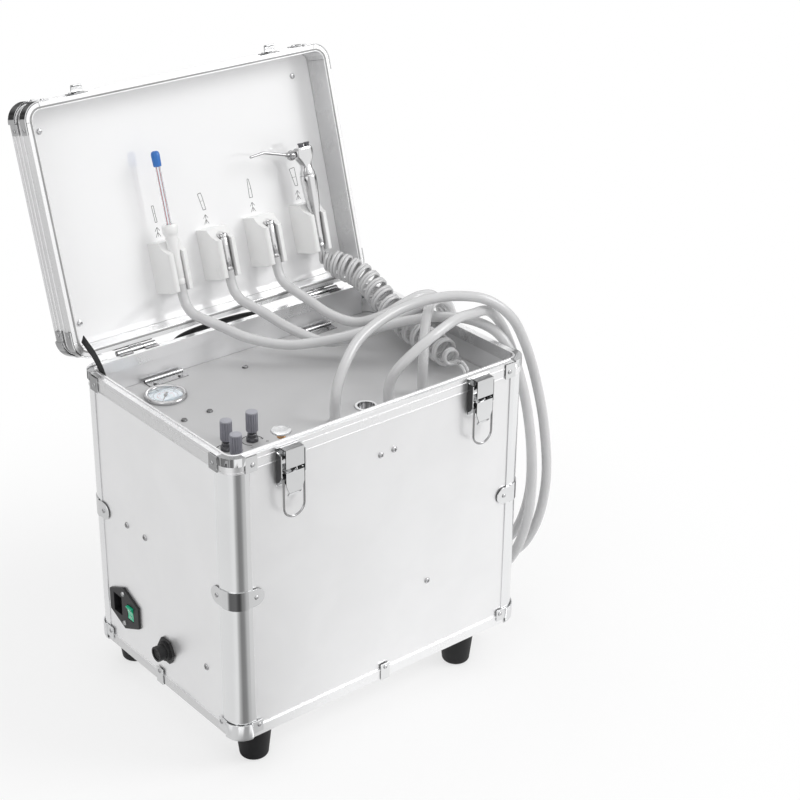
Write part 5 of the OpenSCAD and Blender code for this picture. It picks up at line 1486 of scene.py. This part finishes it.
class UNIT_OT_marks(Operator):
    """Prints the plain marks by the knobs and above the instrument holders"""
    bl_idname = "unit.marks"
    bl_label = "Printed marks"

    def execute(self, context):
        deck = Shell()
        z = DECK_Z + 0.02
        for x, y in KNOBS.values():
            arc_strip(deck, (x, y), 11.2, 12.4, 235, -20, z)
            bar(deck, (x - 11.5, y - 13), (x - 7.7, y - 13), 0.55, z)
            bar(deck, (x + 10.2, y - 11.5), (x + 14, y - 11.5), 0.55, z)
            bar(deck, (x + 12.1, y - 13.4), (x + 12.1, y - 9.6), 0.55, z)
            self.add_arrow_head(deck, x, y, z)
        x, y = CHANGEOVER_AT
        arc_strip(deck, (x, y), 12.4, 12.8, 150, 20, z)
        for k in range(3):
            self.add_wave(deck, -139, -86 - 3.2 * k, z)
        self.add_drop(deck, -137, -46, z)
        ink = finish("print_grey", (0.04, 0.04, 0.042), bump=0.0)
        deck.make("deck_marks", ink, "case")
        lid = Shell()
        for i, x in enumerate(HOLDER_X):
            at = lid_frame() @ Matrix.Translation((x - 1, HOLDER_U + HOLDER_H, 0.02))
            self.add_pictogram(lid, at, i)
        lid.make("lid_marks", ink, "lid")
        return {"FINISHED"}

    def add_arrow_head(self, shell, x, y, z):
        """Two short strokes at the end of a knob's arc."""
        tip = polar((x, y), 11.8, -20)
        for turn in (40, 130):
            bar(shell, tip, polar(tip, 2.6, turn), 0.5, z)

    def add_wave(self, shell, x, y, z):
        """A zigzag line."""
        points = [(x + 1.1 * k, y + (0.7 if k % 2 else -0.3)) for k in range(7)]
        for a, b in zip(points, points[1:]):
            bar(shell, a, b, 0.45, z)

    def add_drop(self, shell, x, y, z):
        """The outline of a drop."""
        arc_strip(shell, (x, y), 2.1, 2.55, 150, 390, z, sides=24)
        for s in BOTH:
            bar(shell, (x + s * 2.0, y + 1.1), (x, y + 4.6), 0.45, z)

    def add_pictogram(self, shell, matrix, kind):
        """An upward arrow with two legs under the outline of an instrument."""
        for a, b in (((0, 5), (0, 16)), ((0, 16), (-3.2, 11.6)), ((0, 16), (3.2, 11.6)),
                     ((-0.4, 9.6), (-3.2, 4.4)), ((0.4, 9.6), (3.2, 4.4))):
            bar(shell, a, b, 0.55, 0, matrix=matrix)
        tops = (((-1.6, 42), (1.0, 42), (1.4, 30), (2.0, 22), (-0.6, 22)),
                ((-5.4, 42), (-1.0, 43), (0.4, 38), (2.4, 22), (-1.6, 22)),
                ((-1.0, 45), (0.8, 45), (2.2, 34), (2.4, 22), (-2.2, 22)),
                ((-6.0, 44), (1.6, 45), (2.0, 36), (2.4, 22), (-1.4, 22)))[kind]
        for a, b in zip(tops, tops[1:] + tops[:1]):
            bar(shell, a, b, 0.6, 0, matrix=matrix)
        bar(shell, (tops[0][0] + 1.2, 33), (tops[2][0] - 0.2, 33), 0.35, 0, matrix=matrix)


# ---- Sockets on the left wall ----

INLET_AT, SOCKET_AT = (82, 65), (-6, 52)


def left_wall(y, z):
    """Matrix of a piece on the left wall: local Z points out, local Y up."""
    m = Matrix(((0, 0, -1), (1, 0, 0), (0, 1, 0))).to_4x4()
    m.translation = (PANEL_IN - HALF_W, y, z)
    return m


class UNIT_OT_rocker(Operator):
    """Builds the green mains rocker with its dished face and two marks"""
    bl_idname = "unit.rocker"
    bl_label = "Mains rocker"

    def execute(self, context):
        at = (left_wall(*INLET_AT) @ Matrix.Translation((-14, 0, 1))
              @ Matrix.Rotation(math.radians(10), 4, "X"))
        profile = [(-9.3, 0), (-3, -5), (3, -5), (9.3, 0), (9.3, 3.0), (8.8, 3.6), (8.0, 3.5),
                   (5.4, 2.7), (2.6, 2.2), (0, 2.0), (-2.6, 2.2), (-5.4, 2.7), (-8.0, 3.5),
                   (-8.8, 3.6), (-9.3, 3.0)]
        shell = Shell().prism(profile, -5.9, 5.9, at @ side_on())
        shell.stand_in("rocker_cap", "green_plastic", "rocker_switch", "rocker_switch", 24,
                       round_mm=0.35)
        marks = Shell()
        marks.block((-0.4, 4.2, 2.66), (0.4, 7.4, 3.36), at)
        marks.lathe([(1.2, 0), (1.7, 0), (1.7, 0.5), (1.2, 0.5)], 24,
                    at @ Matrix.Translation((0, -5.6, 2.68)), True)
        ink = finish("print_white", (0.85, 0.85, 0.85), bump=0.0)
        marks.make("rocker_marks", ink, "rocker_switch", 34)
        return {"FINISHED"}


class UNIT_OT_socket(Operator):
    """Builds the insert and the contacts of the round foot-control socket"""
    bl_idname = "unit.socket"
    bl_label = "Foot-control socket"

    def execute(self, context):
        at = left_wall(*SOCKET_AT)
        shell = Shell().lathe([(0, 9.2), (6.9, 9.2), (6.9, 14.2), (6.5, 14.6), (5.9, 14.6),
                               (5.5, 14.2), (0, 14.2)], 40, at)
        for k in range(5):
            hole = at @ Matrix.Translation((*polar((0, 0), 3.5, 72 * (k + 0.25)), 14.2))
            shell.lathe([(0.62, -0.1), (1.15, -0.1), (1.15, 0.35), (0.62, 0.35)], 16, hole,
                        True)
        shell.make("socket_insert", slot_finish("black_plastic"), "case", 34)
        return {"FINISHED"}


# ---- Handle and stay ----


HANDLE_X = 78


class UNIT_OT_handle(Operator):
    """Builds the bowed carrying handle behind the case with its two foot plates"""
    bl_idname = "unit.handle"
    bl_label = "Carrying handle"

    def execute(self, context):
        y0 = HALF_D - PANEL_IN
        line = [(-HANDLE_X, y0 + 1, 328), (-HANDLE_X, y0 + 8, 328), (-75, y0 + 16, 328.5),
                (-69, y0 + 24, 331.5), (-60, y0 + 30, 334.6), (-42, y0 + 32, 336.6),
                (-21, y0 + 32, 337.8), (0, y0 + 32, 338.2)]
        line += [(-x, y, z) for x, y, z in line[-2::-1]]
        path = smooth_path(line, 5)
        frames, sections = [], []
        for i, p in enumerate(path):
            t = tangent(path, i)
            side = (Vector((0, 0, 1)) - t * t.z).normalized()
            frames.append((side, t.cross(side)))
            full = 1 - (abs(p.x) / HANDLE_X) ** 4
            ring = oval(-5.2 - 3.0 * full, 5.2 + 3.0 * full, 5.2 + 1.8 * full, 0, 2.3, 24)
            sections.append([(u, v) for u, v, _ in ring])
        shell = Shell().sweep(path, sections, frames)
        shell.stand_in("bow_handle", "black_plastic", "case", "carry_handle", 40)
        feet = Shell()
        for s in BOTH:
            at = facing((s * HANDLE_X, y0, 324), (0, 1, 0))
            feet.lathe([(0, 0), (12, 0), (12, 1.8), (11.2, 2.8), (9.5, 3), (0, 3)], 40, at)
        feet.make("handle_feet", slot_finish("black_plastic"), "case", 34)
        return {"FINISHED"}


STAY_ROUTE = [(-199, 108, 334), (-199, 114, 348), (-198, 124, 360), (-197, 138, 370),
              (-197, 150, 376), (-197, 162, 382)]


class UNIT_OT_lid_stay(Operator):
    """Builds the webbing stay that keeps the lid from falling back"""
    bl_idname = "unit.lid_stay"
    bl_label = "Lid stay"

    def execute(self, context):
        path = smooth_path(STAY_ROUTE, 6)
        frames = []
        for i in range(len(path)):
            t = tangent(path, i)
            across = Vector((1, 0, 0)).cross(t).normalized()
            frames.append((across, Vector((1, 0, 0))))
        half, thick = 6.0, 1.3
        section = [(-half, -0.2), (-half, 0.2), (-half + 0.6, thick / 2), (-half + 1.2, 0.45),
                   (half - 1.2, 0.45), (half - 0.6, thick / 2), (half, 0.2), (half, -0.2),
                   (half - 0.6, -thick / 2), (half - 1.2, -0.45), (-half + 1.2, -0.45),
                   (-half + 0.6, -thick / 2)]
        shell = Shell().sweep(path, section, frames)
        obj = shell.make("stay_webbing", slot_finish("webbing"), None, 40)
        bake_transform(obj)
        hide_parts("lid_stay")
        return {"FINISHED"}


# ---- Finishes of the CAD nodes ----

# Millimetres of edge rounding, for the nodes that differ from the edge_round setting.
EDGE_WIDTHS = {
    "front_panel": 0, "rear_panel": 0, "left_panel": 0, "right_panel": 0, "floor_panel": 0,
    "compressor": 0, "air_tank": 0, "fluid_bottles": 0, "gauge_dial": 0, "gauge_glass": 0.2,
    "lid_gasket": 0, "power_inlet": 0.5, "deck_panel": 0.3,
}
# The nodes with their own copy of a plating, with its own grey and its own shares of painted shade
# and painted reflection, in place of their slot's finish.
NODE_FINISHES = {"latch_bases": "latch_steel_painted_shade", "deck_hinges": "hinge_steel_painted_shade",
                 "hinge_leaves_case": "hinge_steel_painted_shade", "hinge_leaves_lid": "hinge_steel_painted_shade",
                 "straps_and_clips": "strap_steel_painted_shade"}


class UNIT_OT_finishes(Operator):
    """Gives every CAD node its finish and rounds its hard edges"""
    bl_idname = "unit.finishes"
    bl_label = "Finishes"

    def execute(self, context):
        s = context.scene.unit_finish
        for name, obj in NODES.items():
            for place in obj.material_slots:
                slot = place.material.name.split(".")[0]
                place.material = slot_finish(NODE_FINISHES.get(name, slot))
            if obj.hide_render:
                continue
            width = EDGE_WIDTHS.get(name, s.edge_round / MM)
            if width:
                soften(obj, width)
        return {"FINISHED"}


# ---- Panel and registration ----

STEPS = ["stage", "hoses", "curly_hose", "case_fasteners", "lid_fittings", "holders",
         "connectors", "suction", "syringe", "knobs", "changeover", "gauge", "gauge_scale",
         "marks", "rocker", "socket", "handle", "lid_stay", "finishes"]


class UNIT_PT_pieces(Panel):
    """Lists the steps that dress the dental unit"""
    bl_label = "Dental Unit"
    bl_idname = "UNIT_PT_pieces"
    bl_space_type = "VIEW_3D"
    bl_region_type = "UI"
    bl_category = "Dental Unit"

    def draw(self, context):
        for group in (context.scene.unit_stage, context.scene.unit_finish,
                      context.scene.unit_hoses):
            box = self.layout.box()
            for key in group.bl_rna.properties.keys():
                if key not in ("rna_type", "name"):
                    box.prop(group, key)
        for step in STEPS:
            self.layout.operator("unit." + step)


CLASSES = [StageSettings, FinishSettings, HoseSettings, UNIT_OT_stage, UNIT_OT_hoses,
           UNIT_OT_curly_hose, UNIT_OT_case_fasteners, UNIT_OT_lid_fittings, UNIT_OT_holders,
           UNIT_OT_connectors, UNIT_OT_suction, UNIT_OT_syringe, UNIT_OT_knobs,
           UNIT_OT_changeover, UNIT_OT_gauge, UNIT_OT_gauge_scale, UNIT_OT_marks,
           UNIT_OT_rocker, UNIT_OT_socket, UNIT_OT_handle, UNIT_OT_lid_stay,
           UNIT_OT_finishes, UNIT_PT_pieces]


def register():
    """Registers the classes and hangs the settings on the scene."""
    for cls in CLASSES:
        bpy.utils.register_class(cls)
    bpy.types.Scene.unit_stage = PointerProperty(type=StageSettings)
    bpy.types.Scene.unit_finish = PointerProperty(type=FinishSettings)
    bpy.types.Scene.unit_hoses = PointerProperty(type=HoseSettings)


def unregister():
    """Takes the settings and the classes away again."""
    for name in ("unit_hoses", "unit_finish", "unit_stage"):
        delattr(bpy.types.Scene, name)
    for cls in reversed(CLASSES):
        bpy.utils.unregister_class(cls)


def main():
    """Dresses the unit step by step."""
    register()
    for step in STEPS:
        getattr(bpy.ops.unit, step)()


if __name__ == "__main__":
    main()
